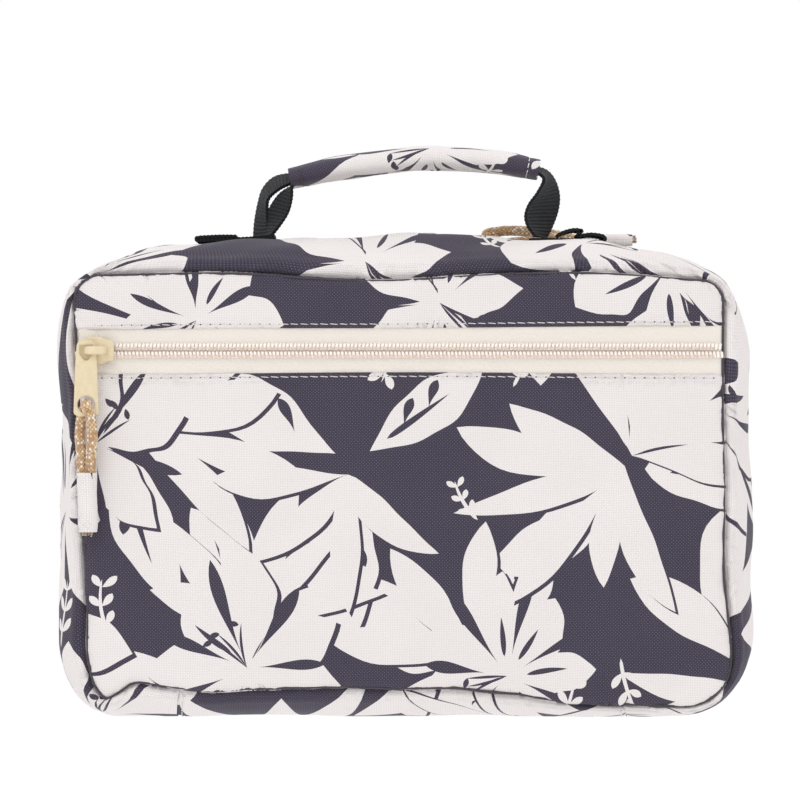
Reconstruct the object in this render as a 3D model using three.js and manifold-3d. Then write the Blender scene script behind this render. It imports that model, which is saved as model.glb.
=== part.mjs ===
// A hanging toiletry bag: a deep front compartment with a zip pocket and a carrying handle,
// closed by a shallow back lid that is hinged in the fabric along the bottom edge.
// Millimetres; +X right, -Y the front, +Z up; the origin is on the ground under the middle.
import * as THREE from "three";
import { mergeVertices } from "three/addons/utils/BufferGeometryUtils.js";
import Module from "manifold-3d";

const wasm = await Module();
wasm.setup();

// ---- Driving dimensions ----
const GAP = 0.3; // clearance between pieces that touch
// The widest outline of the bag, and the smaller one along the front and back seams.
const FULL = { left: -140, right: 140, bottom: 0, top: 192, topRadius: 45, bottomRadius: 30 };
const SEAM = { left: -128, right: 127, bottom: 11, top: 177, topRadius: 20, bottomRadius: 20 };
const PANEL_Y = 40; // outer faces of the front and back panels
const SEAM_Y = 38; // planes of the front and back seams
const CREST_Y = 17; // the sides are at their widest between -CREST_Y and +CREST_Y
const ZIP_Y = 20; // centre line of the main zip, and of the fabric hinge
const TAPE_HALF = 8; // main zip, from its centre line to the edge of the fabric
const GUSSET_WALL = 3; // canvas, foam and seam allowance
const BOTTOM_SEAMS = [-92, 87]; // the seams at the two ends of the bottom panel
const LID_LIFT = 0.8; // how far the lid's bottom edge is above the ground

const POCKET_WINDOW = [137.6, 155.4]; // lower and upper folded edges beside the front zip
const LID_WINDOW = [69.4, 86.6]; // the same on the lid's mesh pocket
const COIL_ROW = 2.7; // width of one row of the coil
const COIL_THICK = 1.3;
const TAPE_THICK = 0.6;

const SLIDER = { length: 14, width: 11.2, plate: 1.6, bailLength: 9, bailWidth: 3.5, bailBar: 1.5, bailGap: 4.6 };
const PULL = { length: 30, width: 10, thick: 1.3, barHalf: 0.9, window: [5.6, 6.2], hole: 6.8, holeAt: 24.4 };
const CORD = 3.5; // diameter of the braided cord
const TIP = { length: 22.7, width: 6.5, thick: 5 };
const POCKET_SLIDER_X = -122.6;
const MAIN_SLIDER_X = 9;
const MAIN_PULL_Z = 193.95; // height of the main pull's axis
const LID_SLIDER_X = -108;
const LID_SLIDER_SCALE = 0.7;

const HANDLE = { width: 20, gripWidth: 24, gripThick: 9, strap: 1.8 };
const HOOK = { y: 17, z: 179.9, thick: 4.4, radius: 17, centreZ: 122 };

// ---- Materials ----
const plain = (color, roughness, metalness = 0) =>
  new THREE.MeshStandardMaterial({ color, roughness, metalness });
const MATERIAL = {
  canvas: plain(0xcfc8c4, 0.9),
  lining: plain(0x8f8a88, 0.85),
  foam: plain(0xe9e6df, 0.95),
  mesh: plain(0x55525a, 0.8),
  tape: plain(0xe6dcc9, 0.85),
  coil: plain(0xdfcfbd, 0.5),
  webbing: plain(0x23252a, 0.8),
  enamel: plain(0xe6dcb0, 0.35, 0.3),
  cord: plain(0xc79a62, 0.5),
  plastic: plain(0x1b1c1f, 0.4),
};

// ---- Solids and meshes ----
const root = new THREE.Group();

function group(parent, x = 0, y = 0, z = 0) {
  const made = new THREE.Group();
  made.position.set(x, y, z);
  parent.add(made);
  return made;
}

function add(parent, name, geometry, material) {
  const mesh = new THREE.Mesh(geometry, material);
  mesh.name = name;
  parent.add(mesh);
  return mesh;
}

// A closed three.js geometry as a manifold-3d solid, for joining and cutting.
function solid(geometry) {
  const bare = geometry.clone();
  bare.deleteAttribute("normal");
  bare.deleteAttribute("uv");
  const merged = mergeVertices(bare, 1e-4);
  return new wasm.Manifold(
    new wasm.Mesh({
      numProp: 3,
      vertProperties: merged.attributes.position.array,
      triVerts: new Uint32Array(merged.index.array),
    }),
  );
}

function geometryOf(manifold) {
  const { vertProperties, triVerts } = manifold.getMesh();
  const made = new THREE.BufferGeometry();
  made.setAttribute("position", new THREE.BufferAttribute(vertProperties, 3));
  made.setIndex(new THREE.BufferAttribute(triVerts, 1));
  made.computeVertexNormals();
  return made;
}

function box([x0, x1], [y0, y1], [z0, z1]) {
  const made = new THREE.BoxGeometry(x1 - x0, y1 - y0, z1 - z0);
  return made.translate((x0 + x1) / 2, (y0 + y1) / 2, (z0 + z1) / 2);
}

// A shape drawn in X and Z, as a plate between two depths.
function plate(shape, y0, y1, curveSegments = 6) {
  const made = new THREE.ExtrudeGeometry(shape, { depth: y1 - y0, bevelEnabled: false, curveSegments });
  return made.rotateX(Math.PI / 2).translate(0, y1, 0);
}

// ---- The bag's outline, and lofts through it ----
const CORNER_STEPS = 6;
const STATIONS = [17, 22, 26, 30, 33, 35.5, 37.2, 38].flatMap((y) => [-y, y]);

function cornerPoints(o) {
  const corners = [
    [o.right - o.bottomRadius, o.bottom + o.bottomRadius, o.bottomRadius, -90],
    [o.right - o.topRadius, o.top - o.topRadius, o.topRadius, 0],
    [o.left + o.topRadius, o.top - o.topRadius, o.topRadius, 90],
    [o.left + o.bottomRadius, o.bottom + o.bottomRadius, o.bottomRadius, 180],
  ];
  return corners.flatMap(([x, z, radius, from]) =>
    Array.from({ length: CORNER_STEPS + 1 }, (_, i) => {
      const angle = THREE.MathUtils.degToRad(from + (90 * i) / CORNER_STEPS);
      return new THREE.Vector2(x + radius * Math.cos(angle), z + radius * Math.sin(angle));
    }),
  );
}

function inset(outline, by) {
  return {
    left: outline.left + by,
    right: outline.right - by,
    bottom: outline.bottom + by,
    top: outline.top - by,
    topRadius: outline.topRadius - by,
    bottomRadius: outline.bottomRadius - by,
  };
}

// The bag's outline at a depth: full across the crest, and rounding in to the seams.
function outlineAt(y, by) {
  const beyond = Math.max(Math.abs(y) - CREST_Y, 0) / (SEAM_Y - CREST_Y);
  const bulge = Math.sqrt(Math.max(1 - beyond * beyond, 0));
  const mixed = {};
  for (const key of Object.keys(FULL)) mixed[key] = THREE.MathUtils.lerp(SEAM[key], FULL[key], bulge);
  return cornerPoints(inset(mixed, by));
}

// A closed solid through the bag's outlines from y0 to y1, moved in by a wall's depth.
function loft(y0, y1, by) {
  const between = STATIONS.filter((y) => y > y0 + 0.01 && y < y1 - 0.01).sort((a, b) => a - b);
  const depths = [y0, ...between, y1];
  const rings = depths.map((y) => outlineAt(y, by));
  const count = rings[0].length;
  const positions = rings.flatMap((ring, j) => ring.flatMap((p) => [p.x, depths[j], p.y]));
  const faces = [];
  for (let j = 0; j + 1 < rings.length; j++)
    for (let i = 0; i < count; i++) {
      const a = j * count + i;
      const b = j * count + ((i + 1) % count);
      faces.push(a, a + count, b, b, a + count, b + count);
    }
  const last = (rings.length - 1) * count;
  for (const [a, b, c] of THREE.ShapeUtils.triangulateShape(rings[0], [])) faces.push(a, b, c);
  for (const [a, b, c] of THREE.ShapeUtils.triangulateShape(rings.at(-1), []))
    faces.push(last + a, last + c, last + b);
  const made = new THREE.BufferGeometry();
  made.setAttribute("position", new THREE.Float32BufferAttribute(positions, 3));
  made.setIndex(faces);
  return made;
}

// A wall that follows the bag's outline, open at both depths.
function ring(y0, y1, outer, inner) {
  return solid(loft(y0, y1, outer)).subtract(solid(loft(y0 - 1, y1 + 1, inner)));
}

// A lining: a thin ring with a face at its closed end.
function pan(openY, faceY, outer, wall) {
  const inward = Math.sign(openY - faceY);
  const [y0, y1] = [Math.min(openY, faceY), Math.max(openY, faceY)];
  const hollow = inward > 0 ? loft(y0 + wall, y1 + 1, outer + wall) : loft(y0 - 1, y1 - wall, outer + wall);
  return solid(loft(y0, y1, outer)).subtract(solid(hollow));
}

// What lies in the stretch of the bottom between its two seams.
function bottomStretch(shrink) {
  return solid(box([BOTTOM_SEAMS[0] + shrink, BOTTOM_SEAMS[1] - shrink], [-60, 60], [-5, 24]));
}

function panel(outline, y0, y1, zRange = [-10, 300]) {
  const whole = plate(new THREE.Shape(cornerPoints(outline)), y0, y1);
  return geometryOf(solid(whole).intersect(solid(box([-200, 200], [y0 - 1, y1 + 1], zRange))));
}

// ---- Zips ----
// The two halves of a straight zip along X, with the coil's rows towards the front of tapeY.
function straightZip(parent, name, [z0, z1], [x0, x1], tapeY) {
  const middle = (z0 + z1) / 2;
  for (const [half, side] of [["lower", -1], ["upper", 1]]) {
    const span = (near, far) => [middle + side * near, middle + side * far].sort((a, b) => a - b);
    const tape = span(0.15, (z1 - z0) / 2 - GAP);
    const row = span(0.2, 0.2 + COIL_ROW);
    const front = tapeY - GAP;
    add(parent, `${name}_tape_${half}`, box([x0, x1], [tapeY, tapeY + TAPE_THICK], tape), MATERIAL.tape);
    add(parent, `${name}_coil_${half}`, box([x0 + 1, x1 - 1], [front - COIL_THICK, front], row), MATERIAL.coil);
  }
}

// Sliders and pulls are made lying in X and Z with their outer face to -Y, and turned as needed.
// The slider's plate starts at y = 0; sides lists the edges that have a flange.
function sliderGeometry(sides) {
  const { length, width, plate: thick, bailLength, bailWidth, bailBar, bailGap } = SLIDER;
  const shape = new THREE.Shape(
    cornerPoints({
      left: -length / 2, right: length / 2, bottom: -width / 2, top: width / 2, topRadius: 3, bottomRadius: 3,
    }),
  );
  let body = solid(plate(shape, -thick, 0));
  for (const side of sides) {
    const edge = [side * (width / 2 - 1), (side * width) / 2].sort((a, b) => a - b);
    body = body.add(solid(box([-length / 2 + 3, length / 2 - 3], [-0.5, 1.5], edge)));
  }
  const bail = solid(
    box([-bailLength / 2, bailLength / 2], [-thick - bailGap - bailBar, -thick / 2], [-bailWidth / 2, bailWidth / 2]),
  );
  const under = box(
    [-bailLength / 2 + bailBar, bailLength / 2 - bailBar], [-thick - bailGap, -thick], [-bailWidth, bailWidth],
  );
  return geometryOf(body.add(bail.subtract(solid(under))));
}

// The pull hangs down -Z from its cross bar, whose centre is the origin.
function pullGeometry() {
  const { length, width, thick, barHalf, window, hole, holeAt } = PULL;
  const half = width / 2;
  const shape = new THREE.Shape(
    cornerPoints({
      left: -half, right: half, bottom: barHalf - length, top: barHalf, topRadius: 2.5, bottomRadius: half - 0.2,
    }),
  );
  const [w, h] = window;
  shape.holes.push(
    new THREE.Path([
      new THREE.Vector2(-w / 2, -barHalf),
      new THREE.Vector2(-w / 2, -barHalf - h),
      new THREE.Vector2(w / 2, -barHalf - h),
      new THREE.Vector2(w / 2, -barHalf),
    ]),
    new THREE.Path().absarc(0, -holeAt, hole / 2, 0, 2 * Math.PI, true),
  );
  return plate(shape, -thick / 2, thick / 2);
}

function cordAlong(points) {
  const section = new THREE.Shape();
  section.absarc(0, 0, CORD / 2, 0, 2 * Math.PI);
  const path = new THREE.CatmullRomCurve3(points.map((p) => new THREE.Vector3(...p)));
  return new THREE.ExtrudeGeometry(section, { steps: 28, extrudePath: path, curveSegments: 4 });
}

// ---- Front compartment ----
const bag = group(root);
const frontFace = [-PANEL_Y, -SEAM_Y - 0.4];
add(bag, "front_panel_lower", panel(SEAM, ...frontFace, [-10, POCKET_WINDOW[0]]), MATERIAL.canvas);
add(bag, "front_panel_upper", panel(SEAM, ...frontFace, [POCKET_WINDOW[1], 300]), MATERIAL.canvas);
straightZip(bag, "pocket", POCKET_WINDOW, [SEAM.left + 0.5, SEAM.right - 0.5], -39.1);
add(bag, "pocket_backing", panel(inset(SEAM, 3.6), -38.1, -37.8), MATERIAL.lining);
add(bag, "front_foam", panel(inset(SEAM, 4.2), -37.5, -34.6), MATERIAL.foam);

const tapeEdge = ZIP_Y - TAPE_HALF;
const gusset = ring(-SEAM_Y, tapeEdge, 0, GUSSET_WALL);
add(bag, "body_gusset", geometryOf(gusset.subtract(bottomStretch(0))), MATERIAL.canvas);
const bottom = ring(-SEAM_Y, ZIP_Y - GAP, 0, GUSSET_WALL);
add(bag, "bottom_panel", geometryOf(bottom.intersect(bottomStretch(GAP))), MATERIAL.canvas);
add(bag, "body_lining", geometryOf(pan(tapeEdge - GAP, -34.2, 3.6, 0.5)), MATERIAL.lining);
add(bag, "body_binding", geometryOf(ring(8.5, tapeEdge - GAP, 4.4, 5.6)), MATERIAL.webbing);

// One side of the main zip, round the top, the sides and the bottom corners.
function mainZipSide(parent, name, near, rowFar, tapeFar) {
  const order = (a, b) => [Math.min(a, b), Math.max(a, b)];
  const gap = bottomStretch(0);
  const tape = ring(...order(near, tapeFar), 4.4, 4.4 + TAPE_THICK).subtract(gap);
  const row = ring(...order(near, rowFar), 4.1 - COIL_THICK, 4.1).subtract(gap);
  add(parent, `main_tape_${name}`, geometryOf(tape), MATERIAL.tape);
  add(parent, `main_coil_${name}`, geometryOf(row), MATERIAL.coil);
}
mainZipSide(bag, "body", ZIP_Y - 0.2, ZIP_Y - 0.2 - COIL_ROW, tapeEdge + GAP);

const POCKET_TOP = 100;
add(bag, "body_mesh_pocket", box([-104, 104], [-31, -30.5], [16, POCKET_TOP]), MATERIAL.mesh);
add(
  bag, "body_mesh_elastic", box([-104, 104], [-31.4, -30], [POCKET_TOP + GAP, POCKET_TOP + 8]), MATERIAL.webbing,
);

// ---- Back lid ----
const lid = group(root);
add(lid, "back_panel", panel(SEAM, SEAM_Y + 0.4, PANEL_Y), MATERIAL.canvas);
const lidEdge = ZIP_Y + TAPE_HALF;
add(lid, "lid_gusset", geometryOf(ring(lidEdge, SEAM_Y, 0, GUSSET_WALL)), MATERIAL.canvas);
add(
  lid, "lid_hinge_strip",
  box([BOTTOM_SEAMS[0] + GAP, BOTTOM_SEAMS[1] - GAP], [ZIP_Y + GAP, lidEdge - GAP], [LID_LIFT, GUSSET_WALL]),
  MATERIAL.canvas,
);
mainZipSide(lid, "lid", ZIP_Y + 0.2, ZIP_Y + 0.2 + COIL_ROW, lidEdge - GAP);
add(lid, "lid_foam", panel(inset(SEAM, 4.2), 35.1, 38), MATERIAL.foam);
add(lid, "lid_lining", geometryOf(pan(lidEdge + GAP, 34.7, 3.6, 0.5)), MATERIAL.lining);
add(lid, "lid_binding", geometryOf(ring(lidEdge + GAP, 31.5, 4.4, 5.6)), MATERIAL.webbing);

const MESH_OUTLINE = inset(SEAM, 6);
const LID_MESH_Y = 33.2;
add(lid, "lid_mesh_lower", panel(MESH_OUTLINE, LID_MESH_Y, LID_MESH_Y + 0.5, [-10, LID_WINDOW[0]]), MATERIAL.mesh);
add(lid, "lid_mesh_upper", panel(MESH_OUTLINE, LID_MESH_Y, LID_MESH_Y + 0.5, [LID_WINDOW[1], 300]), MATERIAL.mesh);
straightZip(lid, "lid_pocket", LID_WINDOW, [MESH_OUTLINE.left + 0.5, MESH_OUTLINE.right - 0.5], LID_MESH_Y);

// The hook folds about the bar at its top, which lies in a loop of webbing.
function barrel(radius, halfLength) {
  return solid(new THREE.CylinderGeometry(radius, radius, 2 * halfLength, 16).rotateZ(Math.PI / 2));
}
const tabHalf = 10;
const hookTab = barrel(4.5, tabHalf)
  .add(solid(box([-tabHalf, tabHalf], [0, lidEdge - 0.1 - HOOK.y], [3.1, 4.5])))
  .subtract(barrel(3.3, tabHalf + 1));
add(group(lid, 0, HOOK.y, HOOK.z), "hook_tab", geometryOf(hookTab), MATERIAL.webbing);

const hookGroup = group(lid, 0, HOOK.y, HOOK.z);
function hookGeometry() {
  const frameShape = new THREE.Shape(
    cornerPoints({ left: -14, right: 14, bottom: -14, top: 2, topRadius: 1.5, bottomRadius: 6 }),
  );
  const slot = [[-11, -2], [-11, -9], [11, -9], [11, -2]].map(([x, z]) => new THREE.Vector2(x, z));
  frameShape.holes.push(new THREE.Path(slot));
  const frame = solid(plate(frameShape, -HOOK.thick / 2, HOOK.thick / 2));
  const centre = HOOK.centreZ - HOOK.z;
  const curl = [50, 15, -20, -55, -90, -125, -160, -195].map((degrees) => {
    const angle = THREE.MathUtils.degToRad(degrees);
    return [HOOK.radius * Math.cos(angle), 0, centre + HOOK.radius * Math.sin(angle)];
  });
  const route = [[0, 0, -12], [0, 0, -27], ...curl].map((p) => new THREE.Vector3(...p));
  const section = new THREE.Shape();
  section.absellipse(0, 0, 2.6, HOOK.thick / 2, 0, 2 * Math.PI);
  const curve = new THREE.ExtrudeGeometry(section, {
    steps: 30, extrudePath: new THREE.CatmullRomCurve3(route), curveSegments: 5,
  });
  return geometryOf(frame.add(solid(curve)));
}
add(hookGroup, "hook", hookGeometry(), MATERIAL.plastic);

// ---- Handle ----
const BASES = { left: [-86, -54], right: [49, 84] };
const WEB_Z = FULL.top + GAP;
for (const [side, span] of Object.entries(BASES))
  add(bag, `handle_base_${side}`, box(span, [-10, 10], [WEB_Z, WEB_Z + 2.4]), MATERIAL.webbing);

const handle = group(root);
// The grip's middle line, and a strip of even thickness along any line in X and Z.
const GRIP_LINE = [[-47, 217], [-25, 221.5], [8, 225.6], [35, 224], [53, 220.6]];

function stripAlong(points, thick) {
  const line = new THREE.SplineCurve(points.map(([x, z]) => new THREE.Vector2(x, z))).getSpacedPoints(12);
  const side = (sign) =>
    line.map((p, i) => {
      const along = line[Math.min(i + 1, line.length - 1)].clone().sub(line[Math.max(i - 1, 0)]).normalize();
      return new THREE.Vector2(p.x - (sign * along.y * thick) / 2, p.y + (sign * along.x * thick) / 2);
    });
  return new THREE.Shape([...side(-1), ...side(1).reverse()]);
}
const gripHalf = HANDLE.gripWidth / 2;
const cover = solid(plate(stripAlong(GRIP_LINE, HANDLE.gripThick), -gripHalf, gripHalf));
const coreLine = GRIP_LINE.map(([x, z], i) => [i === 0 ? x - 2 : i === 4 ? x + 2 : x, z]);
const cavity = solid(plate(stripAlong(coreLine, HANDLE.gripThick - 3), -gripHalf + 1.6, gripHalf - 1.6));
const core = plate(stripAlong(GRIP_LINE, HANDLE.gripThick - 4.2), -gripHalf + 2.2, gripHalf - 2.2);
add(handle, "handle_grip_cover", geometryOf(cover.subtract(cavity)), MATERIAL.canvas);
add(handle, "handle_grip_core", core, MATERIAL.foam);

const LEG_LINES = {
  left: [[-57.5, 196], [-61, 201], [-59, 208], [-50, 214.5]],
  right: [[51, 196], [58, 203], [60.5, 209], [55.8, 217.5]],
};
for (const [side, line] of Object.entries(LEG_LINES)) {
  const half = HANDLE.width / 2;
  add(handle, `handle_webbing_${side}`, plate(stripAlong(line, HANDLE.strap), -half, half), MATERIAL.webbing);
}

// ---- Sliders, pulls and cords ----
// A slider with its pull: the pull hangs by the foot of the bail that is at -X.
function hangingSlider(parent, name, x, plateY, z, scale, pullLength) {
  const place = group(parent, x, plateY, z);
  place.scale.setScalar(scale);
  add(place, `${name}_slider`, sliderGeometry([-1, 1]), MATERIAL.enamel);
  const footX = (SLIDER.bailBar - SLIDER.bailLength) / 2;
  const pullPlace = group(place, footX, -SLIDER.plate - SLIDER.bailGap / 2, 3.1);
  add(pullPlace, `${name}_pull`, pullGeometry(), MATERIAL.enamel).scale.z = pullLength / PULL.length;
}
const pocketZ = (POCKET_WINDOW[0] + POCKET_WINDOW[1]) / 2;
const pocketPlateY = -41.3;
hangingSlider(bag, "pocket", POCKET_SLIDER_X, pocketPlateY, pocketZ, 1, PULL.length);
const lidPocketZ = (LID_WINDOW[0] + LID_WINDOW[1]) / 2;
hangingSlider(lid, "lid", LID_SLIDER_X, LID_MESH_Y - GAP - COIL_THICK - GAP, lidPocketZ, LID_SLIDER_SCALE, 24);

// The pocket's cord: from the tip up behind the pull, through its hole and down in front of it.
const pullX = POCKET_SLIDER_X + (SLIDER.bailBar - SLIDER.bailLength) / 2;
const pullY = pocketPlateY - SLIDER.plate - SLIDER.bailGap / 2;
const holeZ = pocketZ + 3.1 - PULL.holeAt;
const tipTop = 97;
const POCKET_CORD = [
  [pullX - 1.9, pullY + 0.6, tipTop + GAP],
  [pullX - 2.2, pullY + 1.4, tipTop + 8],
  [pullX - 2.6, pullY + 2.3, tipTop + 16],
  [pullX - 1.8, pullY + 2.5, holeZ - 4.5],
  [pullX, pullY + 1.5, holeZ - 0.2],
  [pullX, pullY - 1.5, holeZ - 0.2],
  [pullX + 1.8, pullY - 2.5, holeZ - 4.5],
  [pullX + 2.6, pullY - 2.3, tipTop + 16],
  [pullX + 2.2, pullY - 1.4, tipTop + 8],
  [pullX + 1.9, pullY - 0.6, tipTop + GAP],
];
add(bag, "pocket_pull_cord", cordAlong(POCKET_CORD), MATERIAL.cord);

// A sleeve of canvas sewn over the ends of the cord, lying along X, Y or Z.
function tip(sizes, centre) {
  const span = (i) => [centre[i] - sizes[i] / 2, centre[i] + sizes[i] / 2];
  return box(span(0), span(1), span(2));
}
add(
  bag, "pocket_cord_tip",
  tip([TIP.width, TIP.thick, TIP.length], [pullX, pullY, tipTop - TIP.length / 2]), MATERIAL.canvas,
);

// The main slider runs on the front half of the zip and is open towards the lid.
const mainPlateZ = MAIN_PULL_Z - SLIDER.plate - SLIDER.bailGap / 2;
const mainPlace = group(bag, MAIN_SLIDER_X, ZIP_Y, mainPlateZ);
mainPlace.rotation.x = -Math.PI / 2;
add(mainPlace, "main_slider", sliderGeometry([-1]), MATERIAL.enamel);
const mainPull = add(group(bag, MAIN_SLIDER_X, ZIP_Y, MAIN_PULL_Z), "main_pull", pullGeometry(), MATERIAL.enamel);
mainPull.rotation.set(-Math.PI / 2, 0, Math.PI / 2, "ZXY");

const mainHoleX = MAIN_SLIDER_X + PULL.holeAt;
const mainTipX = 71;
const tipZ = 192.9;
const mainCordEnd = mainTipX - 2 * GAP;
const MAIN_CORD = [
  [mainCordEnd, ZIP_Y - 1.9, tipZ],
  [mainTipX - 8, ZIP_Y - 1.9, tipZ + 1],
  [mainTipX - 18, ZIP_Y - 2, tipZ],
  [mainHoleX + 9, ZIP_Y - 1.9, MAIN_PULL_Z - 2.2],
  [mainHoleX + 4.5, ZIP_Y - 0.8, MAIN_PULL_Z - 2.5],
  [mainHoleX - 0.2, ZIP_Y, MAIN_PULL_Z - 1.2],
  [mainHoleX - 0.2, ZIP_Y, MAIN_PULL_Z + 1.6],
  [mainHoleX + 4.5, ZIP_Y + 0.8, MAIN_PULL_Z + 2.55],
  [mainHoleX + 9, ZIP_Y + 1.9, MAIN_PULL_Z + 3],
  [mainTipX - 18, ZIP_Y + 2, tipZ + 3.6],
  [mainTipX - 8, ZIP_Y + 1.9, tipZ + 2],
  [mainCordEnd, ZIP_Y + 1.9, tipZ],
];
add(bag, "main_pull_cord", cordAlong(MAIN_CORD), MATERIAL.cord);
add(
  bag, "main_cord_tip",
  tip([TIP.length, TIP.width, TIP.thick], [mainTipX + TIP.length / 2, ZIP_Y, tipZ]), MATERIAL.canvas,
);

export default root;
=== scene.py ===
"""The looks of a hanging toiletry bag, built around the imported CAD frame.
Lengths are in millimetres until a mesh is made; +X right, -Y the front, +Z up."""

import math
import random

import bmesh
import bpy
import numpy as np
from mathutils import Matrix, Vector, geometry


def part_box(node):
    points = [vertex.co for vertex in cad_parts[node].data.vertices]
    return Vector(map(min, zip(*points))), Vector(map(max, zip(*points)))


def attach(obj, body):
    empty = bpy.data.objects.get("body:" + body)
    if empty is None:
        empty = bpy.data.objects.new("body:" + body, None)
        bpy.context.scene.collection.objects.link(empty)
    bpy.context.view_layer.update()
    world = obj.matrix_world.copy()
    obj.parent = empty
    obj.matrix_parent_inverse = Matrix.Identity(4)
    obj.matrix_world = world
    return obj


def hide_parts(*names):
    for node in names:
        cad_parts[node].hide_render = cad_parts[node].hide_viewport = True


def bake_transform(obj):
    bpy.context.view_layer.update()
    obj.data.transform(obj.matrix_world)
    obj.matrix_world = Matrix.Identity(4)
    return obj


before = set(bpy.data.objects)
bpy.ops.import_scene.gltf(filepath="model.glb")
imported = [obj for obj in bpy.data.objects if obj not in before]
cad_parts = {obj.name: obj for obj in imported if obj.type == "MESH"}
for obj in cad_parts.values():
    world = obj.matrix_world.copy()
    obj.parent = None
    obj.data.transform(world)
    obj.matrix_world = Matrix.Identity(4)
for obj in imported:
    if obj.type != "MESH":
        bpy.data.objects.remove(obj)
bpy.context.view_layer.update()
MM = 0.001


def corners(node):
    """A CAD node's lowest and highest corner in millimetres."""
    low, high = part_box(node)
    return np.array(low) / MM, np.array(high) / MM


# ---- Camera ----
CAMERA_TARGET = Vector((-0.0028, 0, 0.127))
CAMERA_DISTANCE, WIDTH_SEEN = 1.4, 0.3255


def place_camera():
    """Level with the middle of the bag and straight in front of it."""
    data = bpy.data.cameras.new("camera")
    data.sensor_width = 36
    data.lens = data.sensor_width * CAMERA_DISTANCE / WIDTH_SEEN
    camera = bpy.data.objects.new("camera", data)
    bpy.context.scene.collection.objects.link(camera)
    camera.location = CAMERA_TARGET - Vector((0, CAMERA_DISTANCE, 0))
    camera.rotation_euler = (math.pi / 2, 0, 0)
    bpy.context.scene.camera = camera


place_camera()


# ---- Meshes ----
def make_mesh(name, points, faces, materials, kinds=None, uv=None, normals=None, flat=False):
    """points in mm; faces a list of index arrays with 3 or 4 columns; kinds, one material index per face;
    uv per point in mm; normals per corner, in the order of the faces."""
    mesh = bpy.data.meshes.new(name)
    loops = np.concatenate([f.ravel() for f in faces]).astype(np.int32)
    sizes = np.concatenate([np.full(len(f), f.shape[1]) for f in faces]).astype(np.int32)
    starts = np.concatenate([[0], np.cumsum(sizes)[:-1]]).astype(np.int32)
    mesh.vertices.add(len(points))
    mesh.vertices.foreach_set("co", (np.asarray(points) * MM).astype(np.float32).ravel())
    mesh.loops.add(len(loops))
    mesh.loops.foreach_set("vertex_index", loops)
    mesh.polygons.add(len(sizes))
    mesh.polygons.foreach_set("loop_start", starts)
    mesh.polygons.foreach_set("loop_total", sizes)
    if kinds is not None:
        mesh.polygons.foreach_set("material_index", np.asarray(kinds, np.int32))
    mesh.update(calc_edges=True)
    mesh.polygons.foreach_set("use_smooth", np.full(len(sizes), not flat))
    if uv is not None:
        layer = mesh.uv_layers.new(name="cloth")
        layer.data.foreach_set("uv", (np.asarray(uv)[loops] / 100).astype(np.float32).ravel())
    if normals is not None:
        mesh.normals_split_custom_set(normals.astype(np.float32))
    for m in materials:
        mesh.materials.append(m)
    made = bpy.data.objects.new(name, mesh)
    bpy.context.scene.collection.objects.link(made)
    return made


def unit(v):
    return v / np.maximum(np.linalg.norm(v, axis=-1, keepdims=True), 1e-12)


def surface_normals(place, a, b, step=0.05):
    """Normals of a surface place(a, b): the cross product of its a and b directions."""
    along = place(a + step, b) - place(a - step, b)
    across = place(a, b + step) - place(a, b - step)
    return unit(np.cross(along, across))


def open_rim(faces, count):
    """Quads from a sheet's open edges to the copy of its points, which are stored count places later."""
    sides = faces.shape[1]
    edges = np.concatenate([faces[:, [i, (i + 1) % sides]] for i in range(sides)]).astype(np.int64)
    a, b = edges[~np.isin(edges @ (count, 1), edges @ (1, count))].T
    return np.stack([b, a, a + count, b + count], 1)


def shell(name, points, normals, faces, kinds, uv, thick, materials, inner):
    """A closed sheet: the outer face, the same face thick lower down, and a rim round its open edges."""
    count = len(points)
    rim = open_rim(faces, count)
    both = np.concatenate([points, points - normals * thick])
    rim_normals = unit(np.cross(both[rim[:, 1]] - both[rim[:, 0]], both[rim[:, 3]] - both[rim[:, 0]]))
    corner_normals = np.concatenate([
        normals[faces].reshape(-1, 3), -normals[faces[:, ::-1]].reshape(-1, 3),
        np.repeat(rim_normals, 4, axis=0),
    ])
    tones = np.zeros(count, int)
    tones[faces.ravel()] = np.repeat(kinds, faces.shape[1])
    all_kinds = np.concatenate([kinds, np.full(len(faces), inner), tones[rim[:, 1]]])
    all_faces = [faces, faces[:, ::-1] + count, rim]
    return make_mesh(name, both, all_faces, materials, all_kinds, np.concatenate([uv, uv]), corner_normals)


def grid_faces(rows, columns, wrap_rows=False, wrap_columns=False):
    """Quads of a grid of points stored row by row."""
    r = np.arange(rows if wrap_rows else rows - 1)
    c = np.arange(columns if wrap_columns else columns - 1)
    r, c = [m.ravel() for m in np.meshgrid(r, c, indexing="ij")]
    r1, c1 = (r + 1) % rows, (c + 1) % columns
    return np.stack([r * columns + c, r1 * columns + c, r1 * columns + c1, r * columns + c1], 1)


def tube_faces(rows, columns, flip=False):
    """Faces of a closed bar: a grid of points stored row by row, then one point in the middle of each end."""
    i, end = np.arange(columns), (rows - 1) * columns
    j, sides = (i + 1) % columns, grid_faces(rows, columns, wrap_columns=True)
    if flip:
        i, j, sides = j, i, sides[:, ::-1]
    middle = np.full(columns, rows * columns)
    return [sides, np.stack([i, j, middle], 1), np.stack([end + j, end + i, middle + 1], 1)]


def fan_faces(ring):
    """Quads that close a ring of points."""
    return np.array([[ring[0], *ring[i:i + 3]] for i in range(1, len(ring) - 2, 2)])


def waves(a, b, seed, shortest, longest, count=14):
    """A smooth random height of about -1 to 1 over two lengths in mm."""
    draw = np.random.default_rng(seed)
    total = np.zeros(np.broadcast(a, b).shape)
    for _ in range(count):
        turn, phase = draw.uniform(0, 2 * np.pi, 2)
        k = 2 * np.pi / draw.uniform(shortest, longest)
        total += np.sin(k * (a * np.cos(turn) + b * np.sin(turn)) + phase)
    return total / math.sqrt(count) * 0.7


def smooth(t):
    """An even rise from 0 to 1."""
    t = np.clip(t, 0, 1)
    return t * t * (3 - 2 * t)


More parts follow.
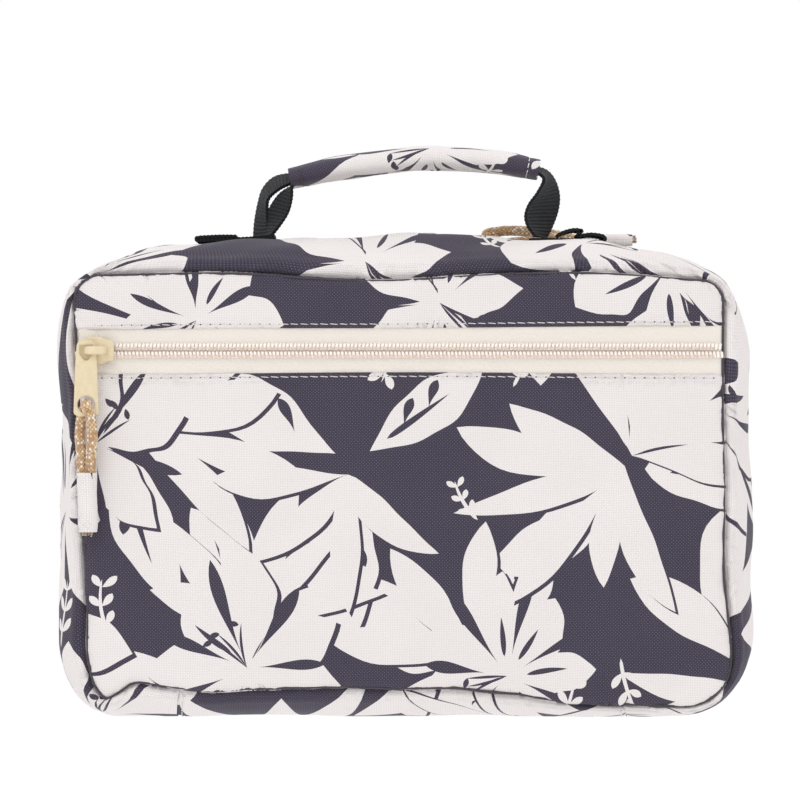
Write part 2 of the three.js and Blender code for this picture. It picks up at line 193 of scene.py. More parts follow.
def hump(x, width):
    """A bell-shaped rise of 1 round x = 0."""
    return np.exp(-((x / width) ** 2))


def quarter(t, radius=1.0):
    """How far a quarter-round edge lies under its flat, t across it: 1 at t = 0, and 0 from its radius on."""
    return 1 - np.sqrt(np.maximum(1 - np.clip(1 - t / radius, 0, 1) ** 2, 0))


def rounder(t, power):
    """A cosine or sine with a power below 1, for sections between a circle and a box."""
    return np.sign(t) * abs(t) ** power


def spline(points, count):
    """A Catmull-Rom curve through points, at equal steps of its length."""
    p = np.asarray(points, float)
    p = np.concatenate([[2 * p[0] - p[1]], p, [2 * p[-1] - p[-2]]])
    t = np.linspace(0, 1, 24, endpoint=False)[:, None]
    parts = [
        0.5 * (2 * b + (c - a) * t + (2 * a - 5 * b + 4 * c - d) * t**2 + (3 * b - a - 3 * c + d) * t**3)
        for a, b, c, d in zip(p, p[1:], p[2:], p[3:])
    ]
    dense = np.concatenate(parts + [p[-2:-1]])
    return evenly(dense, count)


def run_along(line):
    """How far along a line each of its points lies."""
    return np.concatenate([[0], np.cumsum(np.linalg.norm(np.diff(line, axis=0), axis=1))])


def sample(line, run, at):
    """The points of a line, or the directions stored with it, at the distances at."""
    return np.stack([np.interp(at, run, column) for column in line.T], 1)


def evenly(line, count):
    run = run_along(line)
    return sample(line, run, np.linspace(0, run[-1], count))


def length_of(line):
    return float(np.linalg.norm(np.diff(line, axis=0), axis=1).sum())


def frames_along(line):
    """Side and up directions along a line, turning as little as they can."""
    tangent = unit(np.gradient(line, axis=0))
    side = [unit(np.cross(tangent[0], [0.3, 0.9, 0.2]))]
    for way in tangent[1:]:
        side.append(unit(side[-1] - way * (side[-1] @ way)))
    return np.array(side), np.cross(tangent, side)


def finish_piece(piece, body, slot, *nodes):
    """Hides the CAD nodes that a piece stands for and hangs it on the body it rides on; slot is not used."""
    if nodes:
        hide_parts(*nodes)
    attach(piece, body)
    return piece


# ---- Materials ----
class Graph:
    """A small helper that writes a material's nodes as formulas."""

    def __init__(self, name, roughness, **constants):
        self.material = bpy.data.materials.new(name)
        self.material.use_nodes = True
        self.tree = self.material.node_tree
        self.shader = self.tree.nodes["Principled BSDF"]
        self.shader.inputs["Roughness"].default_value = roughness
        for socket, value in constants.items():
            self.shader.inputs[socket.replace("_", " ")].default_value = value

    def node(self, kind, **settings):
        made = self.tree.nodes.new(kind)
        for key, value in settings.items():
            setattr(made, key, value)
        return made

    def put(self, socket, value):
        if isinstance(value, bpy.types.NodeSocket):
            self.tree.links.new(value, socket)
        else:
            socket.default_value = value

    def math(self, operation, *values):
        made = self.node("ShaderNodeMath", operation=operation)
        for socket, value in zip(made.inputs, values):
            self.put(socket, value)
        return made.outputs[0]

    def plus(self, first, second):
        return self.math("ADD", first, second)

    def times(self, first, second):
        return self.math("MULTIPLY", first, second)

    def wave(self, length, pitch, kind="SINE"):
        return self.math(kind, self.times(length, 2 * math.pi / pitch))

    def cloth(self):
        """The cloth's two flat lengths, in mm."""
        apart = self.node("ShaderNodeSeparateXYZ")
        self.put(apart.inputs[0], self.node("ShaderNodeUVMap", uv_map="cloth").outputs[0])
        return [self.times(apart.outputs[i], 100.0) for i in (0, 1)]

    def noise(self, scale, detail=2.0, roughness=0.5, stretch=None, where=None):
        """Noise of scale cells per mm, in the piece's own place."""
        made = self.node("ShaderNodeTexNoise")
        made.inputs["Scale"].default_value = 1.0
        made.inputs["Detail"].default_value = detail
        made.inputs["Roughness"].default_value = roughness
        spread = self.node("ShaderNodeVectorMath", operation="MULTIPLY")
        source = where or self.node("ShaderNodeTexCoord").outputs["Object"]
        self.put(spread.inputs[0], source)
        factor = 1.0 if where else 1000.0
        spread.inputs[1].default_value = [scale * factor * s for s in (stretch or (1, 1, 1))]
        self.put(made.inputs["Vector"], spread.outputs[0])
        return made.outputs["Fac"]

    def ramp(self, value, low, high, to_low=0.0, to_high=1.0):
        made = self.node("ShaderNodeMapRange", interpolation_type="SMOOTHSTEP")
        for i, v in enumerate([value, low, high, to_low, to_high]):
            self.put(made.inputs[i], v)
        return made.outputs[0]

    def mix(self, factor, first, second):
        made = self.node("ShaderNodeMix", data_type="RGBA")
        self.put(made.inputs[0], factor)
        for socket, value in ((made.inputs[6], first), (made.inputs[7], second)):
            self.put(socket, value)
        return made.outputs[2]

    def color(self, value):
        self.put(self.shader.inputs["Base Color"], value)

    def bump(self, height, distance_mm, strength=1.0):
        made = self.node("ShaderNodeBump")
        made.inputs["Strength"].default_value = strength
        made.inputs["Distance"].default_value = distance_mm * MM
        self.put(made.inputs["Height"], height)
        self.put(self.shader.inputs["Normal"], made.outputs[0])

    def rough(self, value):
        self.put(self.shader.inputs["Roughness"], value)


def srgb(*rgb):
    """A colour picked on a screen, 0 to 255, as the shader wants it."""
    c = [v / 255 for v in rgb]
    return tuple(v / 12.92 if v <= 0.04045 else ((v + 0.055) / 1.055) ** 2.4 for v in c) + (1.0,)


def canvas(name, ground, thread, gap, contrast):
    """Plain-woven polyester canvas: over-threads show as rounded crowns on a diagonal lattice, with a painted
    highlight on the crowns and painted shade in the gaps between them.
    """
    g = Graph(name, 0.85, Sheen_Weight=0.12, Sheen_Roughness=0.5, Specular_IOR_Level=0.25)
    u, v = g.cloth()
    uneven = g.noise(0.11, 2.0)
    wobble = g.times(uneven, 0.9)
    pitch = 1.34
    across = g.wave(g.plus(u, wobble), pitch)
    along = g.wave(g.plus(v, wobble), pitch)
    cell = g.times(across, along)
    crown = g.ramp(cell, 0.12, 0.85)
    # Painted shade: the gaps between the crowns, where the bump sinks, are mixed towards the gap colour.
    gap_shade = g.ramp(g.math("ABSOLUTE", cell), 0.0, 0.45, 1.0, 0.0)
    fuzz = g.noise(2.6, 3.0)
    # Painted highlight: the crowns are mixed towards the lighter thread colour, broken up by fuzz.
    spot = g.times(crown, g.ramp(fuzz, 0.2, 0.75, 0.35, 1.0))
    base = g.mix(g.times(spot, contrast), ground, thread)
    base = g.mix(g.times(gap_shade, 0.55), base, gap)
    shade = g.ramp(g.noise(0.03, 3.0), 0.3, 0.7, 0.0, 0.10)
    g.color(g.mix(shade, base, gap))
    slub = g.noise(0.9, 2.0, stretch=(0.25, 1, 4))
    height = g.plus(g.math("ABSOLUTE", cell), g.times(slub, 0.5))
    g.bump(g.plus(height, g.times(fuzz, 0.35)), 0.16, 0.55)
    g.rough(g.ramp(fuzz, 0.2, 0.8, 0.78, 0.95))
    return g.material


def twill(name, base, dark, pitch=0.9, slope=1.0, depth=0.12):
    """Woven tape with fine slanting ribs, and painted shade that darkens the low parts between them."""
    g = Graph(name, 0.8, Sheen_Weight=0.15)
    u, v = g.cloth()
    rib = g.wave(g.plus(u, g.times(v, slope)), pitch)
    thread = g.wave(v, 0.55)
    both = g.plus(rib, g.times(thread, 0.5))
    fuzz = g.noise(1.6, 3.0)
    # Painted shade: the colour goes dark where ribs and threads sink, broken up by fuzz.
    g.color(
        g.mix(g.times(g.ramp(both, -1.3, 0.6, 1.0, 0.0), g.ramp(fuzz, 0.2, 0.8, 0.25, 0.6)), base, dark)
    )
    g.bump(g.plus(both, fuzz), depth, 0.5)
    return g.material


def ribbed(name, base, light, pitch):
    """Webbing with ribs straight across it, with a painted highlight on their tops; the cloth's first length
    runs along it.
    """
    g = Graph(name, 0.75, Sheen_Weight=0.08, Specular_IOR_Level=0.3)
    u, v = g.cloth()
    rib = g.wave(u, pitch)
    thread = g.wave(v, 0.7)
    fuzz = g.noise(1.5, 3.0)
    # Painted highlight: the ribs' tops are mixed towards the light colour, broken up by fuzz.
    top = g.times(g.ramp(rib, -0.2, 0.9), g.ramp(fuzz, 0.25, 0.75, 0.4, 1.0))
    g.color(g.mix(top, base, light))
    g.bump(g.plus(g.times(rib, 0.8), g.times(thread, 0.25)), 0.3, 0.7)
    return g.material


def yarn(name, base, dark, pitch=1.1):
    """Twisted or spun thread, dyed a little unevenly."""
    g = Graph(name, 0.6, Sheen_Weight=0.2)
    twist = g.noise(1.0 / pitch, 2.0, stretch=(1, 1, 2))
    g.color(g.mix(g.ramp(twist, 0.35, 0.7), base, dark))
    g.bump(g.noise(3.0, 2.0), 0.08, 0.5)
    return g.material


def enamel():
    """Cream paint baked over a die-cast slider, with small dimples, and painted shade that darkens its
    rounded edges.
    """
    g = Graph("enamel", 0.32, Coat_Weight=0.15, Coat_Roughness=0.2, Specular_IOR_Level=0.55)
    cloud = g.noise(0.35, 3.0)
    grain = g.noise(2.2, 3.0)
    painted = g.mix(g.ramp(cloud, 0.3, 0.75, 0.0, 0.6), srgb(228, 212, 178), srgb(214, 195, 156))
    # Painted shade: the rounded edges, where Pointiness is high, are mixed towards a darker tan.
    edge = g.ramp(g.node("ShaderNodeNewGeometry").outputs["Pointiness"], 0.5, 0.62, 0.0, 0.55)
    g.color(g.mix(edge, painted, srgb(190, 166, 126)))
    g.rough(g.ramp(grain, 0.3, 0.75, 0.26, 0.45))
    g.bump(grain, 0.05, 0.35)
    return g.material


STRAND_ALONG, STRAND_ROUND, STRANDS = 1.7, 1.4, 8


def braid():
    """Gold and tan strands that cross over each other, with a few white ones, and painted shade in the
    grooves between strands.
    """
    g = Graph("braided_cord", 0.5, Sheen_Weight=0.2, Specular_IOR_Level=0.5)
    u, v = g.cloth()
    left = g.plus(g.math("DIVIDE", u, STRAND_ALONG), g.math("DIVIDE", v, STRAND_ROUND))
    right = g.math("SUBTRACT", g.math("DIVIDE", u, STRAND_ALONG), g.math("DIVIDE", v, STRAND_ROUND))
    cells = g.node("ShaderNodeCombineXYZ")
    g.put(cells.inputs[0], g.math("FLOOR", left))
    g.put(cells.inputs[1], g.math("FLOOR", right))
    pick = g.node("ShaderNodeTexWhiteNoise", noise_dimensions="2D")
    g.put(pick.inputs["Vector"], cells.outputs[0])
    chance = pick.outputs["Value"]
    gold = g.mix(g.ramp(chance, 0.1, 0.7), srgb(228, 196, 152), srgb(192, 150, 106))
    base = g.mix(g.ramp(chance, 0.76, 0.79), gold, srgb(247, 238, 226))
    # Painted shade: the borders between strands, where the bump dips, are mixed towards a dark brown.
    edge = g.math("MINIMUM", g.math("PINGPONG", left, 0.5), g.math("PINGPONG", right, 0.5))
    g.color(g.mix(g.ramp(edge, 0.0, 0.16, 0.8, 0.0), base, srgb(138, 96, 62)))
    fibre = g.noise(2.4, 2.0, stretch=(1, 1, 0.4))
    g.bump(g.plus(g.ramp(edge, 0.0, 0.4), g.times(fibre, 0.4)), 0.3, 0.7)
    return g.material


def net(name, color):
    """Pocket mesh: knitted threads round small six-sided holes that light passes through."""
    g = Graph(name, 0.75, Sheen_Weight=0.2)
    u, v = g.cloth()
    pitch = 1.6
    total = None
    for turn in (0, 60, 120):
        c, s = math.cos(math.radians(turn)), math.sin(math.radians(turn))
        wave = g.wave(g.plus(g.times(u, c), g.times(v, s)), pitch, "COSINE")
        total = wave if total is None else g.plus(total, wave)
    g.color(g.mix(g.noise(1.2), color, srgb(122, 116, 120)))
    g.put(g.shader.inputs["Alpha"], g.ramp(total, 0.55, 0.95, 1.0, 0.12))
    g.bump(total, -0.15, 0.6)
    return g.material


def moulded(name, color, roughness):
    """Moulded plastic with a fine grain."""
    g = Graph(name, roughness, Specular_IOR_Level=0.5)
    grain = g.noise(1.4, 4.0)
    lighter = tuple(min(1, 2.0 * c + 0.01) for c in color[:3]) + (1,)
    g.color(g.mix(g.ramp(grain, 0.3, 0.8, 0.0, 0.3), color, lighter))
    g.rough(g.ramp(grain, 0.2, 0.8, roughness - 0.06, roughness + 0.12))
    g.bump(grain, 0.05, 0.3)
    return g.material


def sponge():
    """Open-celled foam, with painted shade in the pits in the middle of its cells."""
    g = Graph("foam", 0.95)
    cells = g.node("ShaderNodeTexVoronoi")
    cells.inputs["Scale"].default_value = 900.0
    g.put(cells.inputs["Vector"], g.node("ShaderNodeTexCoord").outputs["Object"])
    # Painted shade: darker where the cells' bump sinks.
    g.color(g.mix(g.ramp(cells.outputs["Distance"], 0.1, 0.6), srgb(203, 198, 188), srgb(236, 233, 225)))
    g.bump(cells.outputs["Distance"], 0.4, 0.6)
    return g.material


DARK = canvas("canvas_print_dark", srgb(68, 62, 77), srgb(124, 117, 133), srgb(38, 33, 46), 0.66)
CREAM = canvas("canvas_print_cream", srgb(234, 229, 228), srgb(249, 246, 246), srgb(203, 194, 191), 0.9)
LINING = canvas("lining_cloth", srgb(176, 168, 163), srgb(190, 183, 178), srgb(140, 132, 128), 0.5)
TAPE = twill("zip_tape", srgb(242, 235, 226), srgb(221, 211, 200))
COIL = yarn("zip_coil", srgb(252, 246, 240), srgb(246, 236, 228))
# Real sewing thread whose tan is partly painted shade, the shade under the coil turns.
COIL_THREAD_AND_SHADE = yarn("zip_sewing_thread_and_shade", srgb(238, 216, 202), srgb(222, 196, 180))
WHITE_THREAD = yarn("white_thread", srgb(232, 228, 226), srgb(190, 184, 184), 0.5)
# Real dark thread, also used as painted shade: the line down in the front seam and the dots in the needle
# holes.
DARK_THREAD_AND_SHADE = yarn("dark_thread_and_shade", srgb(70, 62, 72), srgb(40, 36, 44), 0.5)
RIB = 1.55
WEBBING = ribbed("webbing_black", srgb(5, 6, 10), srgb(27, 30, 39), RIB)
BINDING = ribbed("binding_black", srgb(20, 21, 26), srgb(46, 48, 56), 0.9)
ENAMEL = enamel()
BRAID = braid()
NET = net("pocket_net", srgb(70, 66, 74))
FOAM = sponge()
PLASTIC = moulded("hook_plastic", srgb(28, 29, 32), 0.42)


# ---- The print: a generic botanical pattern, as flat polygons in mm ----
def blade(x, y, heading, length, width, bend=0.0, belly=0.45, sharp=0.85, ripple=0.0, points=15):
    """A leaf shape pointed at both ends: its midrib starts at x, y and turns by bend on its way."""
    t = np.linspace(0, 1, points)
    turn = heading + bend * (t - 0.3)
    step = length / (points - 1)
    mid = np.stack([np.cos(turn), np.sin(turn)], 1) * step
    mid = np.array([x, y]) + np.concatenate([[[0, 0]], np.cumsum(mid[:-1], axis=0)])
    swell = np.sin(np.pi * t ** (math.log(0.5) / math.log(belly))) ** sharp
    swell *= 1 + ripple * np.sin(t * 17 + heading * 5)
    side = np.stack([-np.sin(turn), np.cos(turn)], 1) * (swell * width / 2)[:, None]
    return np.concatenate([(mid - side), (mid + side)[-2:0:-1]])


def add(out, tone, *place, **shape):
    """Adds one blade: tone 0 is dark, 1 is cream."""
    out.append((tone, blade(*place, **shape)))


def away(x, y, heading, reach):
    """The place at a distance from another."""
    return x + math.cos(heading) * reach, y + math.sin(heading) * reach


def spray(out, blades, halo):
    """Adds cream blades that run together, in front of one dark edge that widens towards its lower right."""
    for place, shape in blades:
        x, y, heading, length, width = place
        start = away(x, y, heading, -0.3 * halo)
        under = blade(*start, heading, length + 0.6 * halo, width + 0.3 * halo, **shape)
        out.append((0, under + halo * np.array([1.15, -0.95])))
    out.extend((1, blade(*place, **shape)) for place, shape in blades)


def fan(out, draw, x, y, heading, size):
    """Long pointed leaves that spread from one point."""
    count = draw.randint(4, 6)
    leaves = []
    for i in range(count):
        spread = (i / (count - 1) - 0.5) * 2.2
        turn = heading + spread + draw.uniform(-0.1, 0.1)
        place = (x, y, turn, size * draw.uniform(0.75, 1.1), size * draw.uniform(0.18, 0.27))
        bend = 0.45 * spread + draw.uniform(-0.3, 0.3)
        leaves.append((place, dict(bend=bend, belly=draw.uniform(0.42, 0.66), ripple=0.03, points=20)))
    spray(out, leaves, 1.0)


def broad(out, draw, x, y, heading, size):
    """A wide leaf with part of its midrib and a few veins left dark."""
    bend = draw.uniform(-0.8, 0.8)
    width = size * draw.uniform(0.36, 0.52)
    shape = dict(bend=bend, belly=draw.uniform(0.38, 0.6), ripple=0.05, points=26)
    spray(out, [((x, y, heading, size, width), shape)], 1.1)
    if draw.random() < 0.6:
        rib = away(x, y, heading, size * 0.15)
        add(out, 0, *rib, heading - 0.3 * bend, size * 0.55, size * 0.045, bend=bend * 0.8, belly=0.3)
    side = draw.choice((-1, 1))
    for i in range(draw.randint(0, 2)):
        at = 0.3 + 0.22 * i
        turn = heading + bend * (at - 0.3)
        start = away(x, y, heading + bend * (at / 2 - 0.3), size * at)
        add(out, 0, *start, turn + side * 0.7, width * 0.6, size * 0.07, bend=-side * 0.4, belly=0.7)


def bloom(out, draw, x, y, heading, size):
    """An open flower: ragged petals that run together, with dark wedges between them and a few stamens."""
    petals = draw.randint(5, 7)
    leaves, turns = [], []
    for i in range(petals):
        turn = heading + i * 2 * math.pi / petals + draw.uniform(-0.22, 0.22)
        turns.append(turn)
        start = away(x, y, turn, -size * 0.06)
        place = (*start, turn, size * draw.uniform(0.85, 1.3), size * draw.uniform(0.42, 0.62))
        bend, belly, sharp = (draw.uniform(*span) for span in ((-0.7, 0.7), (0.48, 0.64), (0.75, 1.0)))
        leaves.append((place, dict(bend=bend, belly=belly, sharp=sharp, ripple=0.07, points=26)))
    spray(out, leaves, 1.3)
    for i, turn in enumerate(turns):
        between = turn + ((turns[(i + 1) % petals] - turn) % (2 * math.pi)) / 2
        start = away(x, y, between, size * draw.uniform(0.1, 0.24))
        length, width = size * draw.uniform(0.6, 0.95), size * draw.uniform(0.07, 0.14)
        add(out, 0, *start, between, length, width, bend=draw.uniform(-0.25, 0.25), belly=0.68)
        if draw.random() < 0.4:
            start = away(x, y, turn, size * 0.2)
            heading_in, length = turn + draw.uniform(-0.2, 0.2), size * draw.uniform(0.3, 0.5)
            add(out, 0, *start, heading_in, length, size * 0.055, bend=draw.uniform(-0.3, 0.3), belly=0.4)
    for i in range(3):
        turn = heading + 0.5 + draw.uniform(-0.5, 0.5)
        add(out, 0, x, y, turn, size * 0.42, 1.1, bend=draw.uniform(-0.5, 0.5), belly=0.5, points=9)
        add(out, 0, *away(x, y, turn, size * 0.4), turn + 1.2, 4.5, 2.2, points=9)


def sprig(out, draw, x, y, heading, size):
    """A thin stem with small round leaves on both sides."""
    bend = draw.uniform(-0.8, 0.8)
    add(out, 1, x, y, heading, size, 1.5, bend=bend, belly=0.3, sharp=0.4, points=13)
    steps = max(3, int(size / 7))
    for i in range(steps):
        at = (i + 0.8) / (steps + 0.3)
        turn = heading + bend * (at - 0.3)
        start = away(x, y, heading + bend * (at / 2 - 0.3), size * at)
        for side in (-1, 1):
            add(
                out, 1, *start, turn + side * 0.85, size * draw.uniform(0.24, 0.32), size * 0.125,
                bend=-side * 0.4, belly=0.6, sharp=0.7, points=9,
            )


def draw_print():
    """The whole cloth, drawn once; each piece of the bag is cut from its own part of it."""
    draw = random.Random(41)
    out = []
    pitch_x, pitch_y = 98.0, 88.0
    spots = []
    for j in range(9):
        for i in range(12):
            x = (i + 0.5 * (j % 2) + draw.uniform(-0.15, 0.15)) * pitch_x
            spots.append(
                (x, (j + draw.uniform(-0.15, 0.15)) * pitch_y, draw.uniform(0, 2 * math.pi), draw.random())
            )
    for x, y, heading, kind in spots:
        for k in range(3):
            turn = heading + 0.6 + k * 2.1 + draw.uniform(-0.4, 0.4)
            broad(out, draw, *away(x, y, turn, 8), turn, draw.uniform(50, 74))
    for x, y, heading, kind in spots:
        fan(out, draw, *away(x, y, heading, 5), heading, draw.uniform(56, 76))
    for x, y, heading, kind in spots:
        if kind < 0.62:
            bloom(out, draw, *away(x, y, heading + math.pi, 9), heading, draw.uniform(36, 48))
        elif kind < 0.9:
            fan(out, draw, x, y, heading + 2.8, draw.uniform(50, 66))
    for x, y, heading, kind in spots:
        gx, gy = away(x, y, heading + math.pi / 2, 54)
        sprig(out, draw, gx, gy, draw.uniform(0, 2 * math.pi), draw.uniform(18, 28))
    return [(tone, p, p.min(0), p.max(0)) for tone, p in out]


PRINT = draw_print()


def cut_cloth(outline, at, turn, step):
    """Triangles of a flat piece cut from the print, with one tone for each: points, faces, tones.
    at is where the piece's own origin lies on the cloth, and turn is the grain's angle in degrees."""
    outline = np.asarray(outline, float)
    x, y = outline.T
    if (x * np.roll(y, -1) - np.roll(x, -1) * y).sum() < 0:
        outline = outline[::-1]
    c, s = math.cos(math.radians(turn)), math.sin(math.radians(turn))
    to_piece = np.array([[c, -s], [s, c]])
    low, high = outline.min(0), outline.max(0)
    points, polygons, tones = [Vector(p) for p in outline], [list(range(len(outline)))], [0]
    box_mid, box_half = (low + high) / 2, (high - low) / 2
    cloth_mid = np.linalg.inv(to_piece) @ box_mid + at
    reach = np.linalg.norm(box_half)
    for tone, shape, shape_low, shape_high in PRINT:
        if (shape_high < cloth_mid - reach).any() or (shape_low > cloth_mid + reach).any():
            continue
        placed = (shape - at) @ to_piece.T
        if (placed.max(0) < low).any() or (placed.min(0) > high).any():
            continue
        polygons.append(list(range(len(points), len(points) + len(placed))))
        points.extend(Vector(p) for p in placed)
        tones.append(tone)
    xs = np.arange(low[0] + step / 2, high[0], step)
    ys = np.arange(low[1] + step / 2, high[1], step)
    jitter = np.random.default_rng(3).uniform(-0.12, 0.12, (len(xs), len(ys), 2)) * step
    grid = np.stack(np.meshgrid(xs, ys, indexing="ij"), -1) + jitter
    points.extend(Vector(p) for p in grid.reshape(-1, 2))
    made, _, faces, _, _, origins = geometry.delaunay_2d_cdt(points, [], polygons, 1, 1e-4, True)
    kept = [(f, max(o)) for f, o in zip(faces, origins) if 0 in o and len(f) == 3]
    used = np.unique([i for f, _ in kept for i in f])
    renumber = np.full(len(made), -1)
    renumber[used] = np.arange(len(used))
    flat = np.array([made[i] for i in used])
    triangles = renumber[np.array([f for f, _ in kept])]
    return flat, triangles, np.array([tones[o] for _, o in kept])


def printed(name, outline, place, at, turn=0.0, step=2.2, thick=0.9, flip=False):
    """A piece of printed canvas: place(a, b) puts its flat points into the bag."""
    flat, faces, tones = cut_cloth(outline, np.array(at, float), turn, step)
    a, b = flat[:, 0], flat[:, 1]
    points = place(a, b)
    normals = surface_normals(place, a, b)
    if flip:
        normals, faces = -normals, faces[:, ::-1]
    return shell(name, points, normals, faces, tones, flat, thick, [DARK, CREAM, LINING], 2)


# ---- The bag's form ----
FULL = dict(left=-140, right=140, bottom=0, top=191.6, top_radius=45, bottom_radius=30)
SEAM = dict(left=-128, right=127, bottom=11, top=177, top_radius=10, bottom_radius=20)
CREST_Y, SEAM_Y = 17.0, 38.0
ZIP_Y = 20.0
BOTTOM_LEFT, BOTTOM_RIGHT = -92.0, 87.0


def outline_points(o, straight=110, arc=22):
    """Round the outline clockwise from the middle of the bottom, seen from the front."""
    tr, br = o["top_radius"], o["bottom_radius"]
    l, r, b, t = o["left"], o["right"], o["bottom"], o["top"]

    def line(p, q, n):
        return np.linspace(p, q, n, endpoint=False)

    def bow(cx, cz, radius, start):
        angle = np.radians(np.linspace(start, start - 90, arc, endpoint=False))
        return np.stack([cx + radius * np.cos(angle), cz + radius * np.sin(angle)], 1)

    middle = 0.0
    return np.concatenate([
        line((middle, b), (l + br, b), straight // 2), bow(l + br, b + br, br, 270),
        line((l, b + br), (l, t - tr), straight),
        bow(l + tr, t - tr, tr, 180), line((l + tr, t), (r - tr, t), straight), bow(r - tr, t - tr, tr, 90),
        line((r, t - tr), (r, b + br), straight), bow(r - br, b + br, br, 0),
        line((r - br, b), (middle, b), straight // 2), [[middle, b]],
    ])


def warped(o, sag, seed):
    """An outline with the small pulls and sags of sewn cloth, in its own plane."""
    p = outline_points(o)
    x, z = p.T
    out = unit(np.stack([np.roll(z, 1) - np.roll(z, -1), np.roll(x, -1) - np.roll(x, 1)], 1))
    out[0] = out[-1] = (0, -1)
    run = run_along(p)
    lift = sag * waves(run, np.zeros_like(run), seed, 55, 160, 8)
    lift *= smooth(np.minimum(run, run[-1] - run) / 30)
    return p + out * lift[:, None], out


def front_seam():
    """The front seam sags between its corners, leans out a little towards the top and waves at the bottom."""
    seam, _ = warped(SEAM, 1.0, 5)
    x, z = seam.T.copy()
    at_side = smooth((abs(x) - 90) / 30)
    seam[:, 1] += smooth((z - 130) / 40) * (1.6 * np.cos(2 * np.pi * (x + 85) / 150) - 0.3)
    seam[:, 0] += np.where(x < 0, -4.2, -0.4) * smooth((z - 40) / 125) * at_side
    seam[:, 0] += np.where(x < 0, 1.0, 2.6) * smooth((70 - z) / 50) * at_side
    seam[:, 1] += smooth((38 - z) / 17) * np.interp(
        x, [-129, -126, -121, -116, -111, -107, -91, -77, -63, 20, 45, 60, 75, 100, 127],
        [-3, -7, -7.5, -2.5, 1.8, 3.0, 0, -1.5, 0, 1.0, 0, -2.7, -4.3, -5.5, -5.5],
    )
    return seam


SEAM_FRONT = front_seam()
SEAM_BACK, _ = warped(SEAM, 1.2, 9)
CREST, CREST_OUT = warped(FULL, 0.9, 13)
CREST[:, 1] = np.maximum(CREST[:, 1], 0.05)


MIDDLE_Z = 88


def reshape(side, radius, height, steps, lifts):
    """Moves one corner of the crest in or out; a step is a degree round it, or a mm along a straight."""
    corner = np.array([side * (140.0 - radius), height])
    x, z = ((CREST - corner) * (side, 1 if height > MIDDLE_Z else -1)).T
    step = np.where(z < 0, 90 - z, np.where(x < 0, x, np.degrees(np.arctan2(x, z))))
    near = (x > -40) & ((CREST[:, 1] > MIDDLE_Z) == (height > MIDDLE_Z))
    lift = np.where(near, np.interp(step, steps, lifts), 0)
    CREST[:] += CREST_OUT * lift[:, None]


reshape(
    -1, 45, 146.6, [-40, -20, 0, 25, 41, 50, 57, 63, 70, 80, 95, 118, 148],
    [0, -0.6, -2.4, -3.7, -1.4, 0.6, 1.9, 1.6, 0.6, 0, -0.4, -2.2, -0.8],
)
reshape(
    1, 45, 146.6, [-40, -18, -7, 3, 18, 32, 44, 49, 55, 65, 78, 92, 130],
    [0, -0.6, -2.6, -4.6, -5.6, -4.8, -2.6, -2.3, -2.8, -3.4, -3.0, -1.5, -1.5],
)
reshape(1, 30, 30, [-40, -10, 18, 50, 75, 92, 146, 149.9], [0, 0, -1.4, -2.9, -2.8, -1.5, -1.5, -1.5])
reshape(-1, 30, 30, [-40, 20, 45, 75, 95, 148], [0, 0, 0, -0.9, -0.4, -0.8])
MEAN = 0.35 * SEAM_FRONT + 0.65 * CREST
RUN = run_along(MEAN)
ROUND = RUN[-1]
INDEX = np.arange(len(RUN))


def run_at(x, left_half):
    """How far round the outline the bottom reaches x."""
    bottom = (MEAN[:, 1] < 12) & ((INDEX < len(INDEX) / 2) == left_half)
    return float(RUN[bottom][np.argmin(abs(MEAN[bottom, 0] - x))])


RUN_LEFT = run_at(BOTTOM_LEFT, True)
RUN_RIGHT = run_at(BOTTOM_RIGHT, False)


def rows_at(table, index):
    """A table's rows at places between them."""
    i = np.clip(index.astype(int), 0, len(table) - 2)
    f = (index - i)[..., None]
    return table[i] * (1 - f) + table[i + 1] * f


# The side's profile from a seam over its rounded shoulder to the middle: length, depth, bulge.
SHOULDER_TURN = np.linspace(np.pi / 2, 0, 60)
PROFILE_DEPTH = CREST_Y + (SEAM_Y - CREST_Y) * np.sin(SHOULDER_TURN)
PROFILE_BULGE = np.cos(SHOULDER_TURN)
PROFILE_LENGTH = np.concatenate(
    [[0], np.cumsum(np.hypot(np.diff(PROFILE_DEPTH), 14 * np.diff(PROFILE_BULGE)))]
)
SHOULDER = PROFILE_LENGTH[-1]


def on_side(run, length, back=False, inset=0.0):
    """A point of the bag's side, run mm round it and length mm from a seam, and the way out there."""
    run = np.mod(run, ROUND)
    index = np.interp(run, RUN, INDEX)
    bulge = np.interp(length, PROFILE_LENGTH, PROFILE_BULGE)
    depth = np.where(
        length < SHOULDER, np.interp(length, PROFILE_LENGTH, PROFILE_DEPTH), CREST_Y - (length - SHOULDER),
    )
    seam = rows_at(SEAM_BACK if back else SEAM_FRONT, index)
    crest, out = rows_at(CREST, index), unit(rows_at(CREST_OUT, index))
    flat = seam + (crest - seam) * bulge[..., None]
    tilt = np.sqrt(np.maximum(1 - bulge**2, 0))[..., None]
    sign = 1 if back else -1
    way = np.concatenate(
        [out[..., :1] * (1 - 0.75 * tilt), sign * tilt, out[..., 1:] * (1 - 0.75 * tilt)], -1,
    )
    point = np.stack([flat[..., 0], sign * depth, flat[..., 1]], -1)
    return point - unit(way) * np.asarray(inset)[..., None], unit(way)


def length_at(depth):
    """How far from the seam the side reaches a depth behind or in front of the middle."""
    if depth > CREST_Y:
        return float(np.interp(-depth, -PROFILE_DEPTH, PROFILE_LENGTH))
    return SHOULDER + CREST_Y - depth


def creases(run, length, seed, depth=1.0):
    """Puckers that start at the seam and die out, and softer folds all over."""
    pucker = waves(run, length * 0.15, seed, 11, 26, 10) * np.exp(-length / 7.0)
    fold = waves(run, length * 1.6, seed + 1, 26, 80, 12)
    return depth * (0.7 * pucker + 0.75 * fold * smooth(length / 8))


